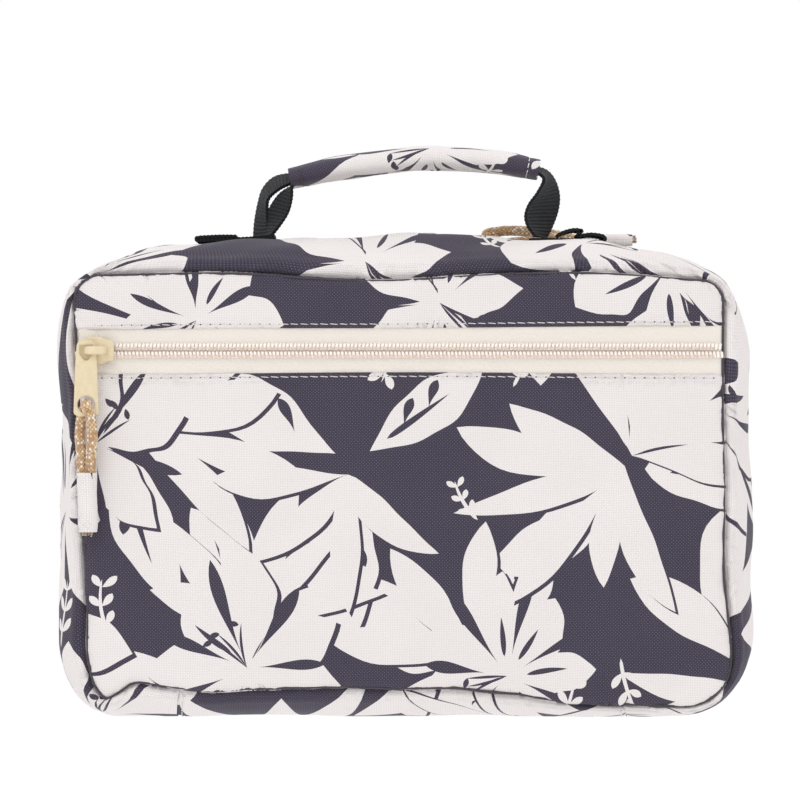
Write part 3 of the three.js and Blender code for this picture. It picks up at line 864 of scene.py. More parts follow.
def side_piece(seed, back, end, depth=1.0):
    """place() for a side panel: roll over the seam, creases, and a fold turned in at its free edge."""

    def place(run, length):
        lift = creases(run, length, seed, depth) + 1.7 * hump(length - 4.0, 2.3)
        lift -= 2.6 * hump(np.maximum(length, 0), 1.25)
        free = np.clip(1.1 - (end - length), 0, 1.1) if end else 0 * length
        lift -= 1.1 - np.sqrt(np.maximum(1.21 - free**2, 0))
        if not back:
            along = run - RUN_LEFT - 24
            lift += 2.6 * hump(along - 0.5 * length, 5) * hump(length - 5, 6)
            lift -= 1.6 * hump(along - 10, 3.2) * hump(length - 4, 6)
        floor = on_side(run, length, back)[0]
        if not back:
            ridge = np.interp(
                floor[..., 0], [-75, -55, -10, 2, 16, 30, 42, 55], [0, 0.3, 1.5, 3.3, 3.3, 2.0, 0.6, 0],
            )
            lift += ridge * smooth((floor[..., 2] - 180) / 8) * hump(length - SHOULDER - 1, 9)
        lift = np.where(floor[..., 2] < 3, np.minimum(lift, 0.0) * 0.4, lift)
        point, _ = on_side(run, length, back, -lift)
        out = unit(rows_at(CREST_OUT, np.interp(np.mod(run, ROUND), RUN, INDEX)))
        lean = 1.3 * hump(length - 2.3, 1.5)
        point[..., 0] -= out[..., 0] * lean
        point[..., 2] -= out[..., 1] * lean
        return point

    return place


def rectangle(a0, a1, b0, b1, step=3.0):
    """A rectangle's outline, with points all along its sides."""
    n, m = max(2, int((a1 - a0) / step)), max(2, int((b1 - b0) / step))
    a, b = np.linspace(a0, a1, n, endpoint=False), np.linspace(b0, b1, m, endpoint=False)
    one = np.ones
    return np.concatenate([
        np.stack([a, b0 * one(n)], 1), np.stack([a1 * one(m), b], 1),
        np.stack([a1 + a0 - a, b1 * one(n)], 1), np.stack([a0 * one(m), b1 + b0 - b], 1),
    ])


BODY_EDGE = length_at(-12.0)
LID_EDGE = length_at(28.0)
gusset = printed(
    "side_panel_front", rectangle(RUN_LEFT, RUN_RIGHT, 0, BODY_EDGE), side_piece(21, False, BODY_EDGE),
    (276, 520), 0, 2.6, 1.1,
)
finish_piece(gusset, "bag", "canvas", "body_gusset")
lid_side = printed(
    "side_panel_back", rectangle(RUN_LEFT, RUN_RIGHT, 0, LID_EDGE), side_piece(31, True, LID_EDGE, 0.6),
    (160, 420), 0, 2.6, 1.1, flip=True,
)
finish_piece(lid_side, "lid", "canvas", "lid_gusset")


# ---- Front and back panels ----
def distance_to(line, x, z):
    """How far points are from a closed line, in mm."""
    p, q = line[:-1], line[1:]
    d = q - p
    size = np.maximum((d**2).sum(1), 1e-9)
    best = np.full(x.shape, 1e9)
    for i in range(0, len(x), 4000):
        a = np.stack([x[i:i + 4000], z[i:i + 4000]], 1)[:, None] - p[None]
        t = np.clip((a * d).sum(2) / size, 0, 1)
        gap = a - t[..., None] * d
        best[i:i + 4000] = np.sqrt((gap**2).sum(2)).min(1)
    return best


POCKET_LOW, POCKET_HIGH = 137.6, 155.4
PANEL_Y = 40.0


def low_edge(x):
    """The lower edge of the front pocket's opening; high_edge is the upper one."""
    return POCKET_LOW + 0.35 * np.sin((x + 60) / 38)


def high_edge(x):
    return POCKET_HIGH + 0.9 * smooth((x + 20) / 130) - 0.5 * smooth((-x - 60) / 60)


def panel_depth(line, x, z, seed, swell, edge=None, side=0):
    """How far a panel stands out in front of or behind y = 0: pillowed to its seams, with creases."""
    near = np.maximum(distance_to(line, x, z), 0)
    out = PANEL_Y - 4.4 * quarter(near, 4.6)
    rise = swell * (1 - np.exp(-near / 16))
    bulk = 0.65 * waves(x, z, seed, 55, 130, 10) + 0.22 * waves(x, z * 0.8, seed + 1, 20, 45, 14)
    pucker = 0.55 * waves(x, z, seed + 2, 8, 17, 14) * np.exp(-near / 6)
    calm = np.ones_like(x)
    if edge is not None:
        to_edge = (edge(x) - z) * side
        calm = smooth(to_edge / (60 if side > 0 else 16))
        out -= quarter(to_edge)
        out += 0.35 * smooth((4.0 - to_edge) / 0.8) - 0.25 * hump(to_edge - 1.6, 0.5)
    return out + calm * (rise + bulk) + pucker


def split_line(line, edge, lower):
    """The part of a closed outline below or above an edge across it, closed along the edge."""
    below = line[:, 1] < edge(line[:, 0])
    cut = np.flatnonzero(below[1:] != below[:-1])
    first, last = cut[0] + 1, cut[-1] + 1
    left, right = line[first], line[last - 1]
    x = np.linspace(left[0], right[0], 90)
    across = np.stack([x, edge(x)], 1)
    if lower:
        return np.concatenate([line[:first], across, line[last:-1]])
    return np.concatenate([line[first:last], across[::-1]])


def front_place(seed, swell, edge, side):
    """place() for the part of the front below (side 1) or above (side -1) the pocket's opening."""
    def place(x, z):
        return np.stack([x, -panel_depth(SEAM_FRONT, x, z, seed, swell, edge, side), z], -1)
    return place


def back_place(x, z):
    """place() for the back panel."""
    return np.stack([x, panel_depth(SEAM_BACK, x, z, 77, 2.0), z], -1)


place_low = front_place(51, 2.0, low_edge, 1)
place_high = front_place(52, 0.6, high_edge, -1)
LOWER_AT, UPPER_AT = (710, 70), (680, 360)
lower = printed(
    "front_panel_lower_canvas", split_line(SEAM_FRONT, low_edge, True), place_low, LOWER_AT, 0, 2.0,
)
upper = printed(
    "front_panel_upper_canvas", split_line(SEAM_FRONT, high_edge, False), place_high, UPPER_AT, 0, 2.0,
)
back = printed("back_panel_canvas", SEAM_BACK[:-1], back_place, (760, 300), 180, 2.4, flip=True)
for piece, body, node in (
    (lower, "bag", "front_panel_lower"), (upper, "bag", "front_panel_upper"), (back, "lid", "back_panel"),
):
    finish_piece(piece, body, "canvas", node)

def seam_shadow_line():
    """Painted shadow: a thin dark tube down in the front seam that draws the dark line of shade in its
    groove.
    """
    depth, inset, radius, sides = 38.25, 1.15, 0.55, 6
    out = np.insert(CREST_OUT[:-1], 1, 0, axis=1)
    line = np.insert(SEAM_FRONT[:-1], 1, -depth, axis=1) - inset * out
    around = np.linspace(0, 2 * np.pi, sides, endpoint=False)
    points = np.stack(
        [line + radius * (out * math.cos(a) - np.array([0, math.sin(a), 0])) for a in around], 1,
    )
    faces = grid_faces(len(line), sides, wrap_rows=True, wrap_columns=True)
    uv = np.stack(np.meshgrid(RUN[:-1], around, indexing="ij"), -1).reshape(-1, 2)
    # The mesh held in thread is the painted shadow line, not a sewing thread.
    thread = make_mesh("front_seam_shadow_line", points.reshape(-1, 3), [faces], [DARK_THREAD_AND_SHADE], uv=uv)
    finish_piece(thread, "bag", "canvas")


seam_shadow_line()

# ---- The bottom, which also makes the fabric hinge ----
UNDER_LENGTH = 2 * SHOULDER + 2 * CREST_Y


def under_place(run, length):
    """The bottom from the front seam to the back seam, with its two end seams pulled in."""
    far = UNDER_LENGTH - length
    near = np.minimum(length, far)
    behind = length > SHOULDER + CREST_Y
    front_point, front_way = on_side(run, np.where(behind, SHOULDER + CREST_Y, length))
    back_point, back_way = on_side(run, np.where(behind, far, SHOULDER + CREST_Y), True)
    point = np.where(behind[..., None], back_point, front_point)
    way = np.where(behind[..., None], back_way, front_way)
    turned = np.mod(run, ROUND)
    to_end = np.minimum(abs(turned - RUN_LEFT), abs(turned - RUN_RIGHT))
    lift = 0.9 * hump(near - 4.2, 2.6) - 1.7 * hump(near, 1.3)
    lift += 0.5 * waves(run, length * 0.4, 61, 12, 30, 12) * np.exp(-near / 9)
    lift -= 1.0 * hump(to_end, 0.9) - 0.35 * hump(to_end - 2.2, 1.4)
    lift = np.where(point[..., 2] < 4, np.minimum(lift, 0), lift)
    return point + way * lift[..., None]


under = printed(
    "bottom_canvas", rectangle(RUN_RIGHT, ROUND + RUN_LEFT, 0, UNDER_LENGTH), under_place, (-400, 300), 0,
    2.6, 1.0,
)
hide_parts("bottom_panel", "lid_hinge_strip")
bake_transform(under)


# ---- Small repeated shapes: stitches, coil turns ----
def pellet(rings=6, sides=8):
    """A unit bar along Z with round ends: points and quads."""
    up = np.concatenate([[-1, -0.9], np.linspace(-0.6, 0.6, rings - 4), [0.9, 1]])
    wide = np.sqrt(np.maximum(1 - abs(up) ** 5, 0))
    wide[0] = wide[-1] = 0.25
    angle = np.linspace(0, 2 * np.pi, sides, endpoint=False)
    points = [[w * math.cos(t), w * math.sin(t), z] for z, w in zip(up, wide) for t in angle]
    faces = grid_faces(len(up), sides, wrap_columns=True)[:, ::-1]
    low, high = np.arange(sides)[::-1], np.arange(sides) + (len(up) - 1) * sides
    return np.array(points), np.concatenate([faces, fan_faces(low), fan_faces(high)])


def scatter(name, centres, along, side, up, sizes, material, template=pellet()):
    """One mesh of many copies of a template: sizes are half lengths on the side, up and along directions."""
    points, faces = template
    axes = np.stack([np.broadcast_to(v, centres.shape) for v in (side, up, along)], 1)
    axes = axes * np.broadcast_to(sizes, centres.shape)[:, :, None]
    placed = np.einsum("pk,nkc->npc", points, axes) + centres[:, None]
    count = len(points)
    all_faces = (faces[None] + (np.arange(len(centres)) * count)[:, None, None]).reshape(-1, 4)
    flat = np.tile(points[:, [2, 0]], (len(centres), 1)) * 2
    return make_mesh(name, placed.reshape(-1, 3), [all_faces], [material], uv=flat)


def stitches(name, line, out, pitch, material, body, slot, length=0.8, thick=0.24, raised=0.1):
    """A row of stitches along a line of points; out is the way out of the cloth at each point."""
    count = max(2, int(length_of(line) / pitch))
    run, step = run_along(line), 0.4
    where = (np.arange(count) + 0.5) * pitch
    away = unit(sample(out, run, where))
    along = unit(sample(line, run, where + step) - sample(line, run, where - step))
    side = np.cross(along, away)
    slant = unit(along + side * 0.08)
    centre = sample(line, run, where)
    piece = scatter(
        name, centre + away * raised, slant, side, away, (thick, thick, pitch * length / 2), material,
    )
    return finish_piece(piece, body, slot)


def surface_line(place, a, b):
    """Points of a surface along a line of its flat points, and the ways out there."""
    return place(a, b), surface_normals(place, a, b)


def edge_stitches(name, place, edge, offset):
    """White stitches along one side of the pocket's zip, with dark dots between them that paint the shade in
    the needle's holes.
    """
    pitch = 3.9
    x = np.linspace(-124.5, 123.5, 200)
    line, out = surface_line(place, x, edge(x) + offset)
    stitches(name, line, out, pitch, WHITE_THREAD, "bag", "cord", 0.84, 0.2, 0.12)
    between = line + np.array([pitch / 2, 0, 0])
    # Painted shade: dark dots in the needle holes between the stitches.
    stitches(name + "_hole_shade", between, out, pitch, DARK_THREAD_AND_SHADE, "bag", "cord", 0.16, 0.26, 0.02)


edge_stitches("pocket_stitches_lower", place_low, low_edge, -1.6)
edge_stitches("pocket_stitches_upper", place_high, high_edge, 1.6)


def side_stitches(name, place, end, back, body):
    """The row along a side panel's free edge, beside the main zip."""
    run = np.linspace(RUN_LEFT + 2, RUN_RIGHT - 2, 700)
    line, out = surface_line(place, run, np.full_like(run, end - 1.9))
    stitches(name, line, -out if back else out, 3.2, WHITE_THREAD, body, "cord", 0.78, 0.26, 0.1)


side_stitches("main_zip_stitches_front", side_piece(21, False, BODY_EDGE), BODY_EDGE, False, "bag")
side_stitches("main_zip_stitches_back", side_piece(31, True, LID_EDGE, 0.6), LID_EDGE, True, "lid")
for name, where in (("left", RUN_LEFT - 2.0 + ROUND), ("right", RUN_RIGHT + 2.0)):
    length = np.linspace(1, SHOULDER + 2 * CREST_Y - 3, 80)
    line, out = surface_line(under_place, np.full_like(length, where), length)
    stitches("bottom_stitches_" + name, line, out, 3.2, WHITE_THREAD, "bag", "cord", 0.78, 0.22, -0.05)


# ---- Straight zips ----
def ribbon_grid(name, place, a0, a1, b0, b1, steps_a, steps_b, thick, material, flip=False):
    """A closed strip of cloth over a rectangle of flat points."""
    grid = np.meshgrid(np.linspace(a0, a1, steps_a), np.linspace(b0, b1, steps_b), indexing="ij")
    a, b = (m.ravel() for m in grid)
    faces = grid_faces(steps_a, steps_b)
    normals = surface_normals(place, a, b)
    if flip:
        normals, faces = -normals, faces[:, ::-1]
    return shell(
        name, place(a, b), normals, faces, np.zeros(len(faces), int), np.stack([a, b], 1), thick,
        [material], 0,
    )


COIL_PITCH = 1.5


def straight_zip(prefix, face_y, body, bunch, ends):
    """Both tapes and coil rows of a zip along X that faces the front; face_y is the tape's outer face."""
    out = -1

    def tuck(x):
        to_end = np.minimum(x - ends[0], ends[1] - x)
        return 4.8 * quarter(to_end, 4.2)

    inner = (corners(prefix + "_tape_lower")[1][2] + corners(prefix + "_tape_upper")[0][2]) / 2
    for half, sign in (("lower", -1), ("upper", 1)):
        tape_low, tape_high = corners(f"{prefix}_tape_{half}")
        row_low, row_high = corners(f"{prefix}_coil_{half}")
        outer = (tape_low[2] - 1.6) if sign < 0 else (tape_high[2] + 1.6)

        def place(x, z):
            gap = np.clip(abs(z - inner), 0, 8)
            gathers = 0.42 * np.sin(x * 0.55 + 0.3 * gap) * np.exp(-(x - tape_low[0]) / 11)
            folds = 0.1 * waves(x, z * 2, 83, 14, 50, 8)
            fold = bunch * (gathers * smooth((gap - 2.4) / 2))
            fold = fold - bunch * 0.12 * smooth(gap / 6) + bunch * folds * smooth((gap - 2.6) / 2)
            return np.stack([x, face_y + out * (fold - tuck(x)), z], -1)

        lowest, highest = sorted((inner, outer))
        tape = ribbon_grid(
            f"{prefix}_tape_{half}_woven", place, *ends, lowest, highest, 260, 16, 0.5, TAPE,
        )
        finish_piece(tape, body, "tape", f"{prefix}_tape_{half}")
        x = np.arange(ends[0] + 1.7 + (0 if sign < 0 else COIL_PITCH / 2), ends[1] - 1.7, COIL_PITCH)
        middle, deep = (row_low + row_high) / 2, (row_high[1] - row_low[1]) / 2
        centres = np.stack([x, middle[1] - out * tuck(x), np.full_like(x, middle[2] + sign * 0.05)], 1)
        slant = unit(np.array([0.12 * sign, 0, 1.0]))
        teeth = scatter(
            f"{prefix}_coil_{half}_turns", centres, slant, np.array([1.0, 0, 0]), np.array([0, 1.0, 0]),
            (COIL_PITCH * 0.45, deep, (row_high[2] - row_low[2]) / 2), COIL,
        )
        finish_piece(teeth, body, "coil", f"{prefix}_coil_{half}")
        row_x = np.linspace(ends[0] + 2, ends[1] - 2, 400)
        y = face_y + out * (deep * 2 + 0.25 - tuck(row_x))
        away = np.tile([0.0, out, 0], (len(row_x), 1))
        # Both rows of tan thread sit below the middle of the coil row: real thread, placed there as painted
        # shade under the coil turns.
        for label, drop in (("upper", 0.3), ("lower", 0.85)):
            line = np.stack([row_x, y, np.full_like(row_x, middle[2] - drop)], 1)
            stitches(
                f"{prefix}_coil_thread_{half}_{label}", line, away, 2 * COIL_PITCH, COIL_THREAD_AND_SHADE, body,
                "coil", 0.96, 0.26, 0.0,
            )


def seam_x(side):
    """Where the front seam crosses the pocket's zip, to the left or right."""
    half = SEAM_FRONT[SEAM_FRONT[:, 0] * side > 0]
    return half[np.argmin(abs(half[:, 1] - (POCKET_LOW + POCKET_HIGH) / 2)), 0]


POCKET_ENDS = (seam_x(-1) - 0.3, seam_x(1) + 0.3)
straight_zip("pocket", -39.1, "bag", 1.0, POCKET_ENDS)
straight_zip("lid_pocket", 32.9, "lid", 0.3, (-121.5, 120.5))


# ---- Rings inside the bag: the main zip, the bindings, the linings ----
def within(run, y, inset):
    """A point inside the bag's outline at a depth y, moved in across the outline."""
    run, y, inset = np.broadcast_arrays(run, y, inset)
    index = np.interp(np.mod(run, ROUND), RUN, INDEX)
    beyond = np.maximum(abs(y) - CREST_Y, 0) / (SEAM_Y - CREST_Y)
    bulge = np.sqrt(np.maximum(1 - beyond**2, 0))[..., None]
    crest, out = rows_at(CREST, index), unit(rows_at(CREST_OUT, index))
    seam = np.where((y > 0)[..., None], rows_at(SEAM_BACK, index), rows_at(SEAM_FRONT, index))
    flat = seam + (crest - seam) * bulge - out * inset[..., None]
    return np.stack([flat[..., 0], y, flat[..., 1]], -1), out


def sweep_ring(name, section, material, body, slot, node, run0, run1, steps, wrap=False):
    """A closed solid swept round the bag: section is (inset, y) corner points."""
    section = np.asarray(section, float)
    run = np.linspace(run0, run1, steps, endpoint=not wrap)
    grid = np.stack([within(run, y, inset)[0] for inset, y in section], 1)
    points = grid.reshape(-1, 3)
    uv = np.stack(np.meshgrid(run, run_along(section), indexing="ij"), -1).reshape(-1, 2)
    if wrap:
        faces = [grid_faces(steps, len(section), wrap_rows=True, wrap_columns=True)]
    else:
        faces = tube_faces(steps, len(section))
        points = np.concatenate([points, grid.mean(1)[[0, -1]]])
        uv = np.concatenate([uv, uv[[0, -1]]])
    return finish_piece(make_mesh(name, points, faces, [material], uv=uv), body, slot, node)


def rounded(inset0, inset1, y0, y1, corner=0.3):
    """The corner points of a band's section, with its corners taken off, in order round it."""
    c = min(corner, (inset1 - inset0) / 2.5, (y1 - y0) / 2.5)
    return [
        (inset0, y0 + c), (inset0, y1 - c), (inset0 + c, y1), (inset1 - c, y1), (inset1, y1 - c),
        (inset1, y0 + c), (inset1 - c, y0), (inset0 + c, y0),
    ]


def main_zip(name, body, tape_y, coil_y, sign, shift):
    """One half of the main zip round the bag, which ends at the bottom: its tape, coil and sewing threads."""
    start, stop = RUN_LEFT + 1, RUN_RIGHT - 1
    band = rounded(4.4, 5.0, *tape_y, 0.15)
    sweep_ring(f"main_tape_{name}_woven", band, TAPE, body, "tape", f"main_tape_{name}", start, stop, 420)
    middle, half = sum(coil_y) / 2, (coil_y[1] - coil_y[0]) / 2

    def row(run, y, inset):
        points, out = within(run, y, inset)
        return points, np.insert(out, 1, 0, axis=1)

    centres, out = row(np.arange(start + 1, stop - 1, COIL_PITCH) + shift, middle, 3.45)
    along = np.tile([0, 1.0, 0], (len(out), 1))
    size = (COIL_PITCH * 0.33, 0.65, half)
    teeth = scatter(f"main_coil_{name}_turns", centres, along, np.cross(along, out), out, size, COIL)
    finish_piece(teeth, body, "coil", f"main_coil_{name}")
    # The threads' tan is partly painted shade, as at the straight zips.
    for label, offset in (("outer", -0.75), ("inner", 0.3)):
        line, out = row(np.linspace(start + 1, stop - 1, 900), middle + sign * offset, 2.85)
        thread = f"main_coil_thread_{name}_{label}"
        stitches(thread, line, out, 2 * COIL_PITCH, COIL_THREAD_AND_SHADE, body, "coil", 0.92, 0.24, 0.0)


def binding(body, name, y):
    """The tape sewn over the inner seam of one half."""
    band = rounded(4.4, 5.7, y, y + 3.2, 0.5)
    sweep_ring(name + "_tape", band, BINDING, body, "webbing", name, 0, ROUND, 480, wrap=True)


main_zip("body", "bag", (10.6, 19.75), (17.1, 19.8), 1, 0)
main_zip("lid", "lid", (20.25, 29.4), (20.2, 22.9), -1, COIL_PITCH / 2)
binding("bag", "body_binding", 8.5)
binding("lid", "lid_binding", 28.3)


def tray(name, body, node, open_y, face_y, seed):
    """The lining of one half: its side, a rounded turn, and its closed face with soft creases."""
    sign = 1 if face_y > open_y else -1
    inset, turn, steps = 3.7, 5.0, 420
    levels = [(inset, open_y + sign * t) for t in np.linspace(0, abs(face_y - open_y) - turn, 8)]
    for t in np.linspace(0.25, math.pi / 2, 6):
        levels.append((inset + turn * (1 - math.cos(t)), face_y - sign * turn * (1 - math.sin(t))))
    run = np.linspace(0, ROUND, steps, endpoint=False)
    rings = [within(run, y, inset)[0] for inset, y in levels]
    last = len(rings) - 1
    centre = np.array([0.0, face_y, 94.0])
    for share in (0.92, 0.84, 0.74, 0.62, 0.5, 0.38, 0.26, 0.14, 0.04):
        rings.append(centre + (rings[last] - centre) * share)
    points = np.stack(rings)
    count = len(points)
    crease = waves(points[..., 0], points[..., 2] + points[..., 1], seed, 18, 60, 16)
    inward = np.arange(count) > last
    points[inward, :, 1] -= sign * (0.25 + 0.35 * abs(crease[inward]))
    uv = np.stack(np.broadcast_arrays(run[None], run_along(points[:, 0])[:, None]), -1).copy()
    on_face = np.arange(count) > last - 3
    uv[on_face] = points[on_face][..., [0, 2]]
    points = points.reshape(-1, 3)
    middle = fan_faces(np.arange(steps) + (count - 1) * steps)
    faces = np.concatenate([grid_faces(count, steps, wrap_columns=True), middle])
    if sign < 0:
        faces = faces[:, ::-1]
    measure = make_mesh("measure", points, [faces], [])
    normals = np.array([v.normal for v in measure.data.vertices])
    bpy.data.objects.remove(measure)
    piece = shell(
        name, points, normals, faces, np.zeros(len(faces), int), uv.reshape(-1, 2), 0.35, [LINING], 0,
    )
    return finish_piece(piece, body, "lining", node)


tray("body_lining_cloth", "bag", "body_lining", 11.4, -33.9, 91)
tray("lid_lining_cloth", "lid", "lid_lining", 28.6, 34.4, 92)


# ---- Sliders and pulls ----
def cast_plate(name, outlines, thick, bevel):
    """A plate with rounded edges in X and Z: the first outline is its outside, the rest are holes."""
    curve = bpy.data.curves.new(name, "CURVE")
    curve.dimensions = "2D"
    curve.fill_mode = "BOTH"
    curve.extrude = max(thick / 2 - bevel, 0.01) * MM
    curve.bevel_depth = bevel * MM
    curve.bevel_resolution = 3
    curve.offset = -bevel * MM
    for outline in outlines:
        line = curve.splines.new("POLY")
        line.points.add(len(outline) - 1)
        for point, (x, z) in zip(line.points, outline):
            point.co = (x * MM, z * MM, 0, 1)
        line.use_cyclic_u = True
    holder = bpy.data.objects.new(name, curve)
    bpy.context.scene.collection.objects.link(holder)
    mesh = bpy.data.meshes.new_from_object(holder)
    bpy.data.objects.remove(holder)
    x, z, height = np.array([v.co for v in mesh.vertices]).T / MM
    return np.stack([x, -height, z], 1), [tuple(p.vertices) for p in mesh.polygons]


def join_solids(name, parts, material, body, slot, nodes, move):
    """One mesh from several (points, faces) solids, each moved into the bag."""
    points, faces, base = [], [], 0
    for p, f in parts:
        points.append(move(np.asarray(p, float)))
        faces += [tuple(int(i) + base for i in face) for face in f]
        base += len(p)
    mesh = bpy.data.meshes.new(name)
    mesh.from_pydata((np.concatenate(points) * MM).tolist(), [], faces)
    mesh.materials.append(material)
    piece = bpy.data.objects.new(name, mesh)
    bpy.context.scene.collection.objects.link(piece)
    smooth_cast(piece)
    return finish_piece(piece, body, slot, *nodes)


def smooth_cast(piece):
    """Welds a joined mesh, turns its faces outwards and keeps its sharp edges sharp."""
    work = bmesh.new()
    work.from_mesh(piece.data)
    bmesh.ops.remove_doubles(work, verts=work.verts, dist=1e-6)
    bmesh.ops.recalc_face_normals(work, faces=work.faces)
    work.to_mesh(piece.data)
    work.free()
    piece.data.shade_smooth()
    piece.data.set_sharp_from_angle(angle=math.radians(38))


def rounded_outline(points, radius, steps=5):
    """A closed outline with its corners rounded; radius may differ from corner to corner."""
    points = [np.array(p, float) for p in points]
    radii = radius if hasattr(radius, "__len__") else [radius] * len(points)
    out = []
    for i, (p, r) in enumerate(zip(points, radii)):
        before, after = points[i - 1] - p, points[(i + 1) % len(points)] - p
        a, b = unit(before), unit(after)
        half = math.acos(float(np.clip(a @ b, -1, 1))) / 2
        cut = min(r / math.tan(half), np.linalg.norm(before) / 2.05, np.linalg.norm(after) / 2.05)
        start, end = p + a * cut, p + b * cut
        for t in np.linspace(0, 1, steps):
            out.append((1 - t) ** 2 * start + 2 * t * (1 - t) * p + t**2 * end)
    return out


def bar(line, wide, high, power=2.6):
    """A bar with a rounded section swept along a line; wide and high are half sizes, one or one per point."""
    count, around = len(line), 20
    tangent = unit(np.gradient(line, axis=0))
    side = unit(np.cross(tangent, [0, 0, 1.0]))
    up = np.cross(side, tangent)
    angle = np.linspace(0, 2 * np.pi, around, endpoint=False)
    c, s = rounder(np.cos(angle), 2 / power), rounder(np.sin(angle), 2 / power)
    wide, high = np.broadcast_to(wide, count)[:, None], np.broadcast_to(high, count)[:, None]
    points = line[:, None] + up[:, None] * (c * wide)[..., None] + side[:, None] * (s * high)[..., None]
    faces = [tuple(f) for f in grid_faces(count, around, wrap_columns=True)]
    faces += [tuple(range(around))[::-1], tuple(range((count - 1) * around, count * around))]
    return points.reshape(-1, 3), faces


PLATE_THICK = 1.6
SLIDER_FACE = rounded_outline(
    [
        (-6.9, -3.4), (-3.6, -5.5), (1.6, -5.5), (4.2, -4.1), (6.9, -4.0), (6.9, 4.0), (4.4, 4.1),
        (1.8, 5.5), (-2.6, 5.5), (-6.9, 3.4),
    ],
    [1.6, 2.0, 1.6, 1.4, 0.5, 0.5, 1.4, 2.4, 2.4, 1.6],
)


def slider_parts(sides):
    """A slider's outer plate, its flanges on the given sides and its bail, facing -Y from y = 0."""
    points, faces = cast_plate("slider", [SLIDER_FACE], PLATE_THICK, 0.45)
    parts = [(points + np.array([0, -PLATE_THICK / 2, 0]), faces)]
    for side in sides:
        rail = [(x, 0.6, side * z) for x, z in ((-4.2, 4.7), (-2, 5.0), (1.5, 5.0), (4.4, 3.9))]
        parts.append(bar(spline(rail, 12), 0.42, 0.85))
    leg = [(3.75, -1.0, 0), (3.9, -3.4, 0), (3.7, -5.6, 0), (2.7, -6.75, 0)]
    arch = spline([(-x, y, z) for x, y, z in leg] + [(0, -6.95, 0)] + leg[::-1], 40)
    middle = np.linspace(-1, 1, len(arch))
    parts.append(bar(arch, 1.3 + 0.35 * (1 - middle**2), 0.62))
    return parts


def mirrored(half):
    """A closed outline, left to right, from its right half: points with their corner's radius."""
    whole = half + [(-x, z, radius) for x, z, radius in half[::-1]]
    return [p[:2] for p in whole], [p[2] for p in whole]


PULL_LENGTH, PULL_TOP, HOLE_DOWN = 30.0, 0.9, 24.4


def pull_parts(length):
    """A pull that hangs from its cross bar at the origin: a tapered plate with a window and a hole."""
    scale = length / PULL_LENGTH
    top, low, waist = PULL_TOP * scale, (PULL_TOP - PULL_LENGTH) * scale, -9 * scale
    outside = rounded_outline(
        *mirrored([(3.6, top, 2.6), (4.35, waist, 6), (5.0, low + 1, 2.2), (3.2, low, 2.2)]), 7,
    )
    window = rounded_outline(*mirrored([(2.6, -0.9, 0.4), (2.7, -4.4, 1.2), (0.7, -7.0, 0.8)]))
    turn = np.linspace(0, 2 * np.pi, 36, endpoint=False)
    hole = [(3.4 * math.cos(t), 3.4 * math.sin(t) - HOLE_DOWN * scale) for t in turn]
    return [cast_plate("pull", [outside, [(x, z * scale) for x, z in window], hole], 1.3, 0.38)]


def middle_of(node):
    """The middle of a CAD node's box, in millimetres."""
    return sum(corners(node)) / 2


def cast(node, parts, move):
    """One enamelled casting in the place of its CAD node, which has its body's name."""
    join_solids(f"{node}_cast", parts, ENAMEL, node, "enamel", [node], move)


SLIDER_X, _, ZIP_Z = middle_of("pocket_slider")
PLATE_Y = -41.3
MAIN_X = middle_of("main_slider")[0]
MAIN_PLATE_Z, MAIN_PULL_Z = 190.05, 193.95
PULL_X, PULL_Y, PULL_Z = SLIDER_X - 3.75, PLATE_Y - 3.9, ZIP_Z + 3.1
LID_SIZE = 0.7


def lay_on_top(points):
    """From the slider's own place, facing -Y, to the top of the bag, facing up; its bail is a low one."""
    height = -points[:, 1]
    height = np.where(height > 3, 3 + (height - 3) * 0.65, height)
    return np.stack([points[:, 0] + MAIN_X, points[:, 2] + ZIP_Y, height + MAIN_PLATE_Z], 1)


def sliders_and_pulls():
    """The pocket's, the lid's and the main zip's: the lid's are smaller, the main zip's lie on the top."""
    lid_x, _, lid_z = middle_of("lid_slider")
    lid_pull_x, lid_pull_y, _ = middle_of("lid_pull")
    lid_pull = np.array([lid_pull_x, lid_pull_y, corners("lid_pull")[1][2] - PULL_TOP * LID_SIZE])
    cast("pocket_slider", slider_parts((-1, 1)), lambda p: p + np.array([SLIDER_X, PLATE_Y, ZIP_Z]))
    cast("lid_slider", slider_parts((-1, 1)), lambda p: p * LID_SIZE + np.array([lid_x, 31.3, lid_z]))
    cast("main_slider", slider_parts((-1,)), lay_on_top)
    cast("pocket_pull", pull_parts(30), lambda p: p + np.array([PULL_X, PULL_Y, PULL_Z]))
    cast("lid_pull", pull_parts(24), lambda p: p * LID_SIZE + lid_pull)
    cast(
        "main_pull", pull_parts(30),
        lambda p: np.stack([MAIN_X - p[:, 2], ZIP_Y - p[:, 0], MAIN_PULL_Z - p[:, 1]], 1),
    )


sliders_and_pulls()

# ---- Cords and their tips ----
def placed(points, origin):
    """Points listed from an origin."""
    return [tuple(p) for p in np.array(points, float) + origin]


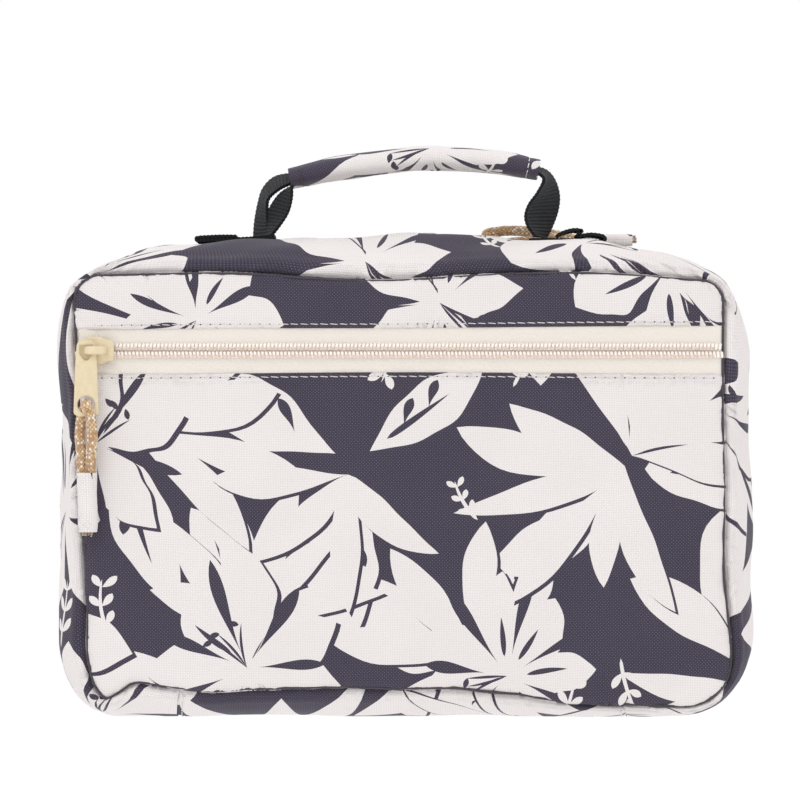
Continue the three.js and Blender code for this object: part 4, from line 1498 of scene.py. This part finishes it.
HOLE_Z, TIP_TOP = PULL_Z - HOLE_DOWN, 97.0
POCKET_CORD = (
    placed([(-1.7, 0.3, 0.3), (-1.95, 0.9, 8), (-2.6, 1.2, 16)], (PULL_X, PULL_Y, TIP_TOP))
    + placed(
        [(-1.9, 1.6, -4.5), (0, 1.5, -0.2), (0, -1.5, -0.2), (1.8, -2.5, -4.5)], (PULL_X, PULL_Y, HOLE_Z),
    )
    + placed([(2.6, -2.3, 16), (1.95, -1.1, 8), (1.7, -0.3, 0.3)], (PULL_X, PULL_Y, TIP_TOP))
)
MAIN_HOLE_X, MAIN_TIP_X, TIP_Z = MAIN_X + HOLE_DOWN, 71.0, 192.9
MAIN_CORD = (
    placed([(-0.6, -1.9, 0), (-8, -1.9, 1), (-18, -2, 0)], (MAIN_TIP_X, ZIP_Y, TIP_Z))
    + placed([
        (9, -1.9, -2.2), (4.5, -0.8, -2.5), (-0.2, 0, -1.2), (-0.2, 0, 1.6), (4.5, 0.8, 2.55), (9, 1.9, 3),
    ], (MAIN_HOLE_X, ZIP_Y, MAIN_PULL_Z))
    + placed([(-18, 2, 3.6), (-8, 1.9, 2), (-0.6, 1.9, 0)], (MAIN_TIP_X, ZIP_Y, TIP_Z))
)
CORD = 3.5


def braided(name, route, body, node):
    """A round braid along a route: strands of two hands cross over and under each other round it."""
    line = spline(route, 420)
    length, around = length_of(line), 40
    side, up = frames_along(line)
    angle = np.linspace(0, 2 * np.pi, around, endpoint=False)
    run, angle = np.meshgrid(np.linspace(0, length, len(line)), angle, indexing="ij")
    v = angle / (2 * np.pi) * STRANDS * STRAND_ROUND
    left, right = run / STRAND_ALONG + v / STRAND_ROUND, run / STRAND_ALONG - v / STRAND_ROUND
    over = np.minimum(abs(left - np.round(left)), abs(right - np.round(right)))
    radius = CORD / 2 + 0.12 + 0.30 * np.sqrt(np.clip(over * 2.4, 0, 1))
    out = np.cos(angle)[..., None] * side[:, None] + np.sin(angle)[..., None] * up[:, None]
    points = (line[:, None] + radius[..., None] * out).reshape(-1, 3)
    uv = np.stack([run, v], -1).reshape(-1, 2)
    piece = make_mesh(
        name, np.concatenate([points, line[[0, -1]]]), tube_faces(len(line), around, flip=True), [BRAID],
        uv=np.concatenate([uv, uv[[0, -1]]]),
    )
    finish_piece(piece, body, "cord", node)


def frayed_ends(name, body, starts, ends):
    """Short loose ends of yarn, one from each start to its end."""
    rows, sides, radius = 5, 6, 0.36
    angle = np.linspace(0, 2 * np.pi, sides, endpoint=False)
    low = fan_faces(np.arange(sides))
    high = low + (rows - 1) * sides
    template = np.concatenate([grid_faces(rows, sides, wrap_columns=True)[:, ::-1], low[:, ::-1], high])
    points, faces = [], []
    for start, end in zip(starts, ends):
        path = np.linspace(start, end, rows)
        tangent = unit(path[-1] - path[0])
        side = unit(np.cross(tangent, [0.3, 0.8, 0.5]))
        up = np.cross(tangent, side)
        ring = radius * (side * np.cos(angle)[:, None] + up * np.sin(angle)[:, None])
        faces.append(template + len(points) * rows * sides)
        points.append((path[:, None] + ring).reshape(-1, 3))
    uv = np.tile(np.array([[0.4 * i, 0.5] for i in range(rows * sides)]), (len(points), 1))
    frayed = make_mesh(name, np.concatenate(points), [np.concatenate(faces)], [BRAID], uv=uv)
    finish_piece(frayed, body, "cord")


def cord_tip(name, node, cloth_at, body):
    """A flat sleeve of printed canvas over the cord's ends, hemmed at the mouth, with a side seam."""
    low, high = corners(node)
    centre, half = (low + high) / 2, (high - low) / 2
    length, girth, over = 2 * half.max(), 21.0, 1.4
    upright = half.argmax() == 2
    wide, thick = half[:2] if upright else half[1:]

    def place(a, b):
        t = a / length
        turn = b / girth * 2 * np.pi
        c, s = np.cos(turn), np.sin(turn)
        grow = 1.16 - 0.10 * smooth(t * 3) + 0.06 * t - 0.10 * hump(t - 1, 0.07) - 0.05 * hump(a - 2.2, 0.35)
        grow = grow + 0.02 * waves(a, b, 95, 6, 15, 8)
        mouth = 0.98 + np.where(s < 0, 0.5, -0.1) * hump(t, 0.14)
        x = rounder(c, 0.75) * wide * grow * 1.02 + 0.45 * hump(b, 0.9) * grow
        y = rounder(s, 0.75) * thick * grow * mouth
        if upright:
            return np.stack([centre[0] + x + 0.54 * t, centre[1] + y - 0.35, high[2] + over - a * 1.03], -1)
        return np.stack([low[0] - over + a * 1.03, centre[1] + x, centre[2] + y * 0.95], -1)

    outline = rectangle(0, length, -girth / 2, girth / 2, 1.0)
    piece = printed(name, outline, place, cloth_at, 0, 1.1, 0.5, flip=not upright)
    finish_piece(piece, body, "canvas", node)
    draw = np.random.default_rng(8)
    starts, ends = [], []
    for _ in range(16):
        angle, r = draw.uniform(0, 2 * np.pi), math.sqrt(draw.uniform(0, 0.75))
        x, y = math.cos(angle) * r * wide * 0.8, math.sin(angle) * r * thick * 0.8
        reach = draw.uniform(1.0, 2.0)
        lean, rise = draw.uniform(-0.5, 0.5, 2)
        if upright:
            starts.append((centre[0] + x + 0.5, centre[1] + y, low[2] + 2.5))
            ends.append((centre[0] + x + 0.6 + lean, centre[1] + y + rise, low[2] + 0.9 - reach))
        else:
            starts.append((high[0] - 2.5, centre[1] + x, centre[2] + y))
            ends.append((high[0] + reach - 0.6, centre[1] + x + lean, centre[2] + y + rise * 0.4))
    frayed_ends(name + "_frayed_ends", body, starts, ends)
    return piece


pocket_tip = cord_tip("pocket_cord_tip_canvas", "pocket_cord_tip", (150, 182), "pocket_tassel")
main_tip = cord_tip("main_cord_tip_canvas", "main_cord_tip", (570, 282), "main_tassel")
braided("pocket_cord_braid", POCKET_CORD, "pocket_tassel", "pocket_pull_cord")
braided("main_cord_braid", MAIN_CORD, "main_tassel", "main_pull_cord")

# ---- Handle ----
GRIP_LINE = spline([(-47.5, 0, 217), (-25, 0, 221.5), (8, 0, 225.2), (35, 0, 223.6), (53.5, 0, 220.6)], 160)
GRIP_LENGTH = length_of(GRIP_LINE)
GRIP_RUN = np.linspace(0, GRIP_LENGTH, len(GRIP_LINE))
GRIP_UP = unit(np.stack([-np.gradient(GRIP_LINE[:, 2]), 0 * GRIP_RUN, np.gradient(GRIP_LINE[:, 0])], 1))
GRIP_HALF_WIDE, GRIP_HALF_HIGH = 12.0, 4.5
GRIP_TURN = np.linspace(-np.pi / 2, 1.5 * np.pi, 400)
GRIP_SECTION = np.stack([
    rounder(np.cos(GRIP_TURN), 0.72) * GRIP_HALF_WIDE, rounder(np.sin(GRIP_TURN), 0.8) * GRIP_HALF_HIGH,
], 1)
GIRTH_RUN = run_along(GRIP_SECTION)
GIRTH = GIRTH_RUN[-1]
HEM = 4.6


def grip_place(a, b):
    """The grip's cover: a along it, b round it from the seam under it; the front edge folds over the side."""
    i = np.interp(np.clip(a, 0, GRIP_LENGTH), GRIP_RUN, np.arange(len(GRIP_LINE)))
    centre, up = rows_at(GRIP_LINE, i), unit(rows_at(GRIP_UP, i))
    b = np.mod(b, GIRTH)
    y, h = sample(GRIP_SECTION, GIRTH_RUN, b).T
    end = np.minimum(a, GRIP_LENGTH - a)
    slim = 1 - 0.10 * np.exp(-end / 7)
    middle = smooth(end / 22)
    crown = 0.5 * middle * np.where(h > 0, 1 - (y / GRIP_HALF_WIDE) ** 2, 0)
    crease = 0.55 * waves(a, b * 0.9, 71, 12, 34, 14) + 0.5 * waves(a * 0.4, b, 72, 7, 16, 10)
    stitched = -0.55 * hump(end - HEM, 0.6)
    fold = -0.6 * hump(b - GIRTH * 0.60, 0.7) * middle - 0.5 * hump(b - GIRTH * 0.9, 0.8)
    grow = 0.6 * crease * middle + stitched + fold
    high = h * slim * (1 + grow / 6.0) + crown
    return centre + up * high[..., None] + np.stack([0 * y, -y * (1 + grow / 16.0), 0 * y], -1)


grip = printed(
    "grip_cover_canvas", rectangle(0, GRIP_LENGTH, 0, GIRTH, 1.6), grip_place, (692, 70), 0, 1.9, 0.9,
)
finish_piece(grip, "handle", "canvas", "handle_grip_cover")
for name, where, thread in (("left", HEM, DARK_THREAD_AND_SHADE), ("right", GRIP_LENGTH - HEM, WHITE_THREAD)):
    b = np.linspace(1, GIRTH - 1, 140)
    line, out = surface_line(grip_place, np.full_like(b, where), b)
    stitches(f"grip_stitches_{name}", line, out, 2.8, thread, "handle", "cord", 0.75, 0.24, 0.12)
core = bar(GRIP_LINE[6:-6], 2.4, 9.6)
join_solids("grip_core_foam", [core], FOAM, "handle", "foam", ["handle_grip_core"], lambda p: p)


# ---- Webbing ----
LOOP_THICK, SEWN_THICK = 1.3, 1.25


def webbing(name, near, far, thick, steps=110, bulge=0.0, out_sign=-1):
    """A ribbon between two edge lines, near the front and far behind, with ribs across it."""
    across, width, rib_height = 15, 20, 0.10
    near_line, far_line = spline(near, steps), spline(far, steps)
    t = np.linspace(0, 1, across)
    points = near_line[:, None] * (1 - t)[None, :, None] + far_line[:, None] * t[None, :, None]
    along, cross = unit(np.gradient(points, axis=0)), unit(np.gradient(points, axis=1))
    normal = unit(np.cross(along, cross)) * out_sign
    run = np.linspace(0, (length_of(near_line) + length_of(far_line)) / 2, steps)
    arch = bulge * (1 - (2 * t - 1) ** 2)[None] * np.sin(np.linspace(0, np.pi, steps))[:, None]
    points = points + normal * arch[..., None]
    half = normal * (thick / 2 + rib_height * np.sin(2 * np.pi * run / RIB)[:, None])[..., None]
    uv = np.stack(np.broadcast_arrays(run[:, None], t[None] * width), -1).reshape(-1, 2)
    faces = grid_faces(steps, across)[:, ::out_sign]
    count = steps * across
    piece = make_mesh(
        name, np.concatenate([(points + half).reshape(-1, 3), (points - half).reshape(-1, 3)]),
        [faces, faces[:, ::-1] + count, open_rim(faces, count)], [WEBBING], uv=np.concatenate([uv, uv]),
    )
    piece.data.set_sharp_from_angle(angle=math.radians(50))
    return piece


left_back = webbing(
    "handle_webbing_left_outer",
    [
        (-57.2, -1, 193.6), (-56.4, -1.5, 199), (-56.8, -2, 204.5), (-56.0, -2, 209), (-51.5, -3, 212.8),
        (-46.5, -4, 215.0),
    ],
    [
        (-62.5, 9.2, 193.4), (-62.0, 9.4, 200), (-60.6, 9.4, 207.5), (-58.6, 9.0, 213.5),
        (-54.0, 8.4, 218.0), (-46.5, 8.0, 219.6),
    ],
    LOOP_THICK,
)
left_front = webbing(
    "handle_webbing_left_inner",
    [
        (-54.6, -9.6, 193.6), (-51.0, -9.6, 198.2), (-48.0, -9.4, 203), (-46.6, -9.0, 208.6),
        (-46.4, -8.4, 213.6), (-44.5, -8, 216.0),
    ],
    [
        (-57.8, 0.6, 193.6), (-57.0, 0, 199), (-56.0, -1.2, 204), (-53.4, -2, 208.4), (-50.2, -2, 211.6),
        (-44.5, -2, 214.6),
    ],
    LOOP_THICK,
)
right_leg = webbing(
    "handle_webbing_right_leg",
    [
        (51.6, -9.6, 193.2), (48.9, -9.8, 197.2), (47.9, -9.8, 201.4), (49.4, -9.4, 206), (53.0, -8.6, 211),
        (55.4, -8.0, 216.4), (51.5, -8, 219.6),
    ],
    [
        (56.8, 9.4, 193.2), (59.4, 9.6, 198.4), (61.6, 9.6, 204.5), (62.2, 9.4, 210.5), (60.6, 9.0, 216.4),
        (57.2, 8.4, 220.6), (51.5, 8, 222.6),
    ],
    LOOP_THICK, bulge=0.9, out_sign=1,
)
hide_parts("handle_webbing_left")
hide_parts("handle_webbing_right")
for piece in (left_back, left_front, right_leg):
    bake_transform(piece)


def top_height(x):
    """How high the bag's top is at x."""
    top = CREST[:, 1] > 160
    order = np.argsort(CREST[top, 0])
    return float(np.interp(x, CREST[top, 0][order], CREST[top, 1][order]))


def sewn_end(name, line, node):
    """The part of the webbing sewn flat on the bag, with its end folded back over itself."""
    line = [(x, z - 192.0 + top_height(x)) for x, z in line]
    near, far = ([(x, y, z) for x, z in line] for y in (-9.8, 9.8))
    return finish_piece(webbing(name, near, far, SEWN_THICK, steps=150), "bag", "webbing", node)


sewn_end(
    "handle_base_left_webbing",
    [
        (-53.5, 194.4), (-57, 193.9), (-62, 193.6), (-70, 193.3), (-80, 193.2), (-84.5, 193.3),
        (-85.3, 193.9), (-84.5, 194.55), (-80, 194.6), (-75, 194.5), (-69, 194.4),
    ],
    "handle_base_left",
)
sewn_end(
    "handle_base_right_webbing",
    [
        (49.5, 192.7), (58, 192.7), (68, 192.5), (76, 192.4), (79.4, 192.8), (80.2, 193.9), (79.0, 195.0),
        (74.5, 195.2), (70.5, 194.6), (69.0, 194.4), (70.0, 195.8), (71.0, 196.4), (68.0, 196.9),
        (64, 196.0), (61, 194.6),
    ],
    "handle_base_right",
)

# ---- Inside: pads, backing, pockets, elastic ----
def slab(name, y0, y1, inset, material, body, slot, node, seed):
    """A flat pad with rounded edges, inside the seams' outline and softly uneven."""
    line = 0.5 * (SEAM_FRONT[:-1:3] + SEAM_BACK[:-1:3])
    centre = line.mean(0)
    outward = unit(line - centre)
    edge, count = min((y1 - y0) / 2, 1.4), len(line)
    turns = [(t, y0 + edge, -1) for t in np.linspace(0, math.pi / 2, 6)]
    turns += [(t, y1 - edge, 1) for t in np.linspace(math.pi / 2, 0, 6)]
    rings = []
    for t, y, sign in turns:
        flat = line - outward * (inset + edge - edge * math.sin(t))
        rings.append(np.insert(flat, 1, y + sign * edge * math.cos(t), axis=1))
    middle = np.array([centre[0], 0, centre[1]])

    def inward(ring, y, sign):
        made = []
        for share in (0.9, 0.75, 0.6, 0.45, 0.3, 0.15, 0.03):
            p = middle + (ring - middle) * share
            p[:, 1] = y + sign * 0.12 * waves(p[:, 0], p[:, 2], seed, 15, 40, 8)
            made.append(p)
        return made

    points = np.stack(inward(rings[0], y0, -1)[::-1] + rings + inward(rings[-1], y1, 1))
    low = fan_faces(np.arange(count))
    high = low + (len(points) - 1) * count
    faces = np.concatenate([grid_faces(len(points), count, wrap_columns=True)[:, ::-1], low, high[:, ::-1]])
    piece = make_mesh(
        name, points.reshape(-1, 3), [faces], [material], uv=points[..., [0, 2]].reshape(-1, 2),
    )
    return finish_piece(piece, body, slot, node)


front_pad = slab("front_pad_foam", -37.3, -34.8, 5.4, FOAM, "bag", "foam", "front_foam", 101)
lid_pad = slab("lid_pad_foam", 35.2, 37.6, 5.4, FOAM, "lid", "foam", "lid_foam", 102)
slab("pocket_backing_cloth", -38.1, -37.7, 4.8, LINING, "bag", "lining", "pocket_backing", 103)


def strip_of(name, node, place, steps, thick, material, slot):
    """A strip of cloth on the inside of the bag, over the height and width of its CAD node."""
    low, high = corners(node)
    piece = ribbon_grid(name, place, low[0], high[0], low[2], high[2], *steps, thick, material, flip=True)
    return finish_piece(piece, "bag", slot, node)


def gathers(x, z):
    """The folds that the elastic makes in the mesh pocket's edge."""
    return np.sin(x * 0.9 + waves(x, z, 5, 20, 50, 6))


POCKET_NET_LOW, POCKET_NET_HIGH = corners("body_mesh_pocket")
POCKET_NET_WIDE, _, POCKET_NET_TALL = POCKET_NET_HIGH - POCKET_NET_LOW


def pocket_place(x, z):
    """The open mesh pocket stands a little off the lining, gathered under its elastic."""
    up = (z - POCKET_NET_LOW[2]) / POCKET_NET_TALL
    belly = 2.6 * np.sin(np.pi * np.clip(up, 0, 1)) * np.sin(np.pi * np.clip((x + 104) / 208, 0, 1)) ** 0.5
    gather = 0.5 * gathers(x, z * 0.1) * smooth((up - 0.35) / 0.65)
    return np.stack([x, -30.4 + belly + gather, z], -1)


def elastic_place(x, z):
    """The elastic along the mesh pocket's top."""
    return np.stack([x, -30.2 + 0.45 * gathers(x, z * 0 + 10), z], -1)


net_pocket = strip_of("body_pocket_net", "body_mesh_pocket", pocket_place, (320, 40), 0.35, NET, "mesh")
elastic = strip_of(
    "body_pocket_elastic", "body_mesh_elastic", elastic_place, (320, 6), 0.8, BINDING, "webbing",
)


def lid_net(name, node, upper):
    """One mesh panel of the lid's pocket, cut to the outline and bound along the zip."""
    low, high = corners(node)
    line = SEAM_BACK[:-1] - CREST_OUT[:-1] * 6.0
    line = line[np.concatenate([[True], np.linalg.norm(np.diff(line, axis=0), axis=1) > 0.2])]
    edge = low[2] if upper else high[2]
    outline = split_line(np.concatenate([line, line[:1]]), lambda x: np.full_like(x, edge), not upper)

    def place(a, b):
        slack = 0.3 * waves(a, b, 111, 30, 90, 10) * smooth((abs(b - edge) - 3) / 8)
        return np.stack([a, 33.35 + slack, b], -1)

    beyond_print = np.array([5000.0, 5000.0])
    flat, faces, _ = cut_cloth(outline, beyond_print, 0, 3.0)
    points, normals = place(flat[:, 0], flat[:, 1]), surface_normals(place, flat[:, 0], flat[:, 1])
    piece = shell(name, points, normals, faces, np.zeros(len(faces), int), flat, 0.35, [NET], 0)
    finish_piece(piece, "lid", "mesh", node)


lid_net("lid_pocket_net_lower", "lid_mesh_lower", False)
lid_net("lid_pocket_net_upper", "lid_mesh_upper", True)

# ---- The hook's loop, and the hook ----
def hook_loop():
    """The webbing loop: round the hook's bar and back to the lid's edge."""
    bar_y, bar_z, radius = 17.0, 179.9, 3.9
    low, high = corners("hook_tab")
    turn = np.radians(np.linspace(88, -250, 30))
    section = [(y, bar_z + radius) for y in (27.6, 24, 20)]
    section += [(bar_y + radius * math.cos(t), bar_z + radius * math.sin(t)) for t in turn]
    near, far = ([(x, y, z) for y, z in section] for x in (low[0] + 0.2, high[0] - 0.2))
    loop = webbing("hook_loop_webbing", near, far, 1.0, steps=140, out_sign=1)
    finish_piece(loop, "lid", "webbing", "hook_tab")


hook_loop()
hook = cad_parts["hook"]
hook.data.materials.clear()
hook.data.materials.append(PLASTIC)


# ---- Studio ----
def studio():
    """White surroundings, a white floor well under the bag and two soft lamps."""
    scene = bpy.context.scene
    scene.view_settings.view_transform = "Standard"
    world = bpy.data.worlds.new("studio")
    scene.world = world
    world.use_nodes = True
    world.node_tree.nodes["Background"].inputs[0].default_value = (1, 1, 1, 1)
    world.node_tree.nodes["Background"].inputs[1].default_value = 1.0
    g = Graph("floor", 0.9)
    g.shader.inputs["Base Color"].default_value = (1, 1, 1, 1)
    size, height = 4000, -290
    square = np.array([[x * size, y * size, height] for x, y in ((-1, -1), (1, -1), (1, 1), (-1, 1))])
    floor = make_mesh("floor", square, [np.array([[0, 1, 2, 3]])], [g.material], flat=True)
    for name, where, watts, size_m in (
        ("key", (-0.5, -1.3, 1.3), 4, 1.2), ("top", (0.2, 0.2, 1.8), 3, 1.4),
    ):
        data = bpy.data.lights.new(name, "AREA")
        data.energy, data.size = watts, size_m
        lamp = bpy.data.objects.new(name, data)
        scene.collection.objects.link(lamp)
        lamp.location = where
        aim = Vector((0, 0, 0.1)) - Vector(where)
        lamp.rotation_euler = aim.to_track_quat("-Z", "Y").to_euler()


studio()
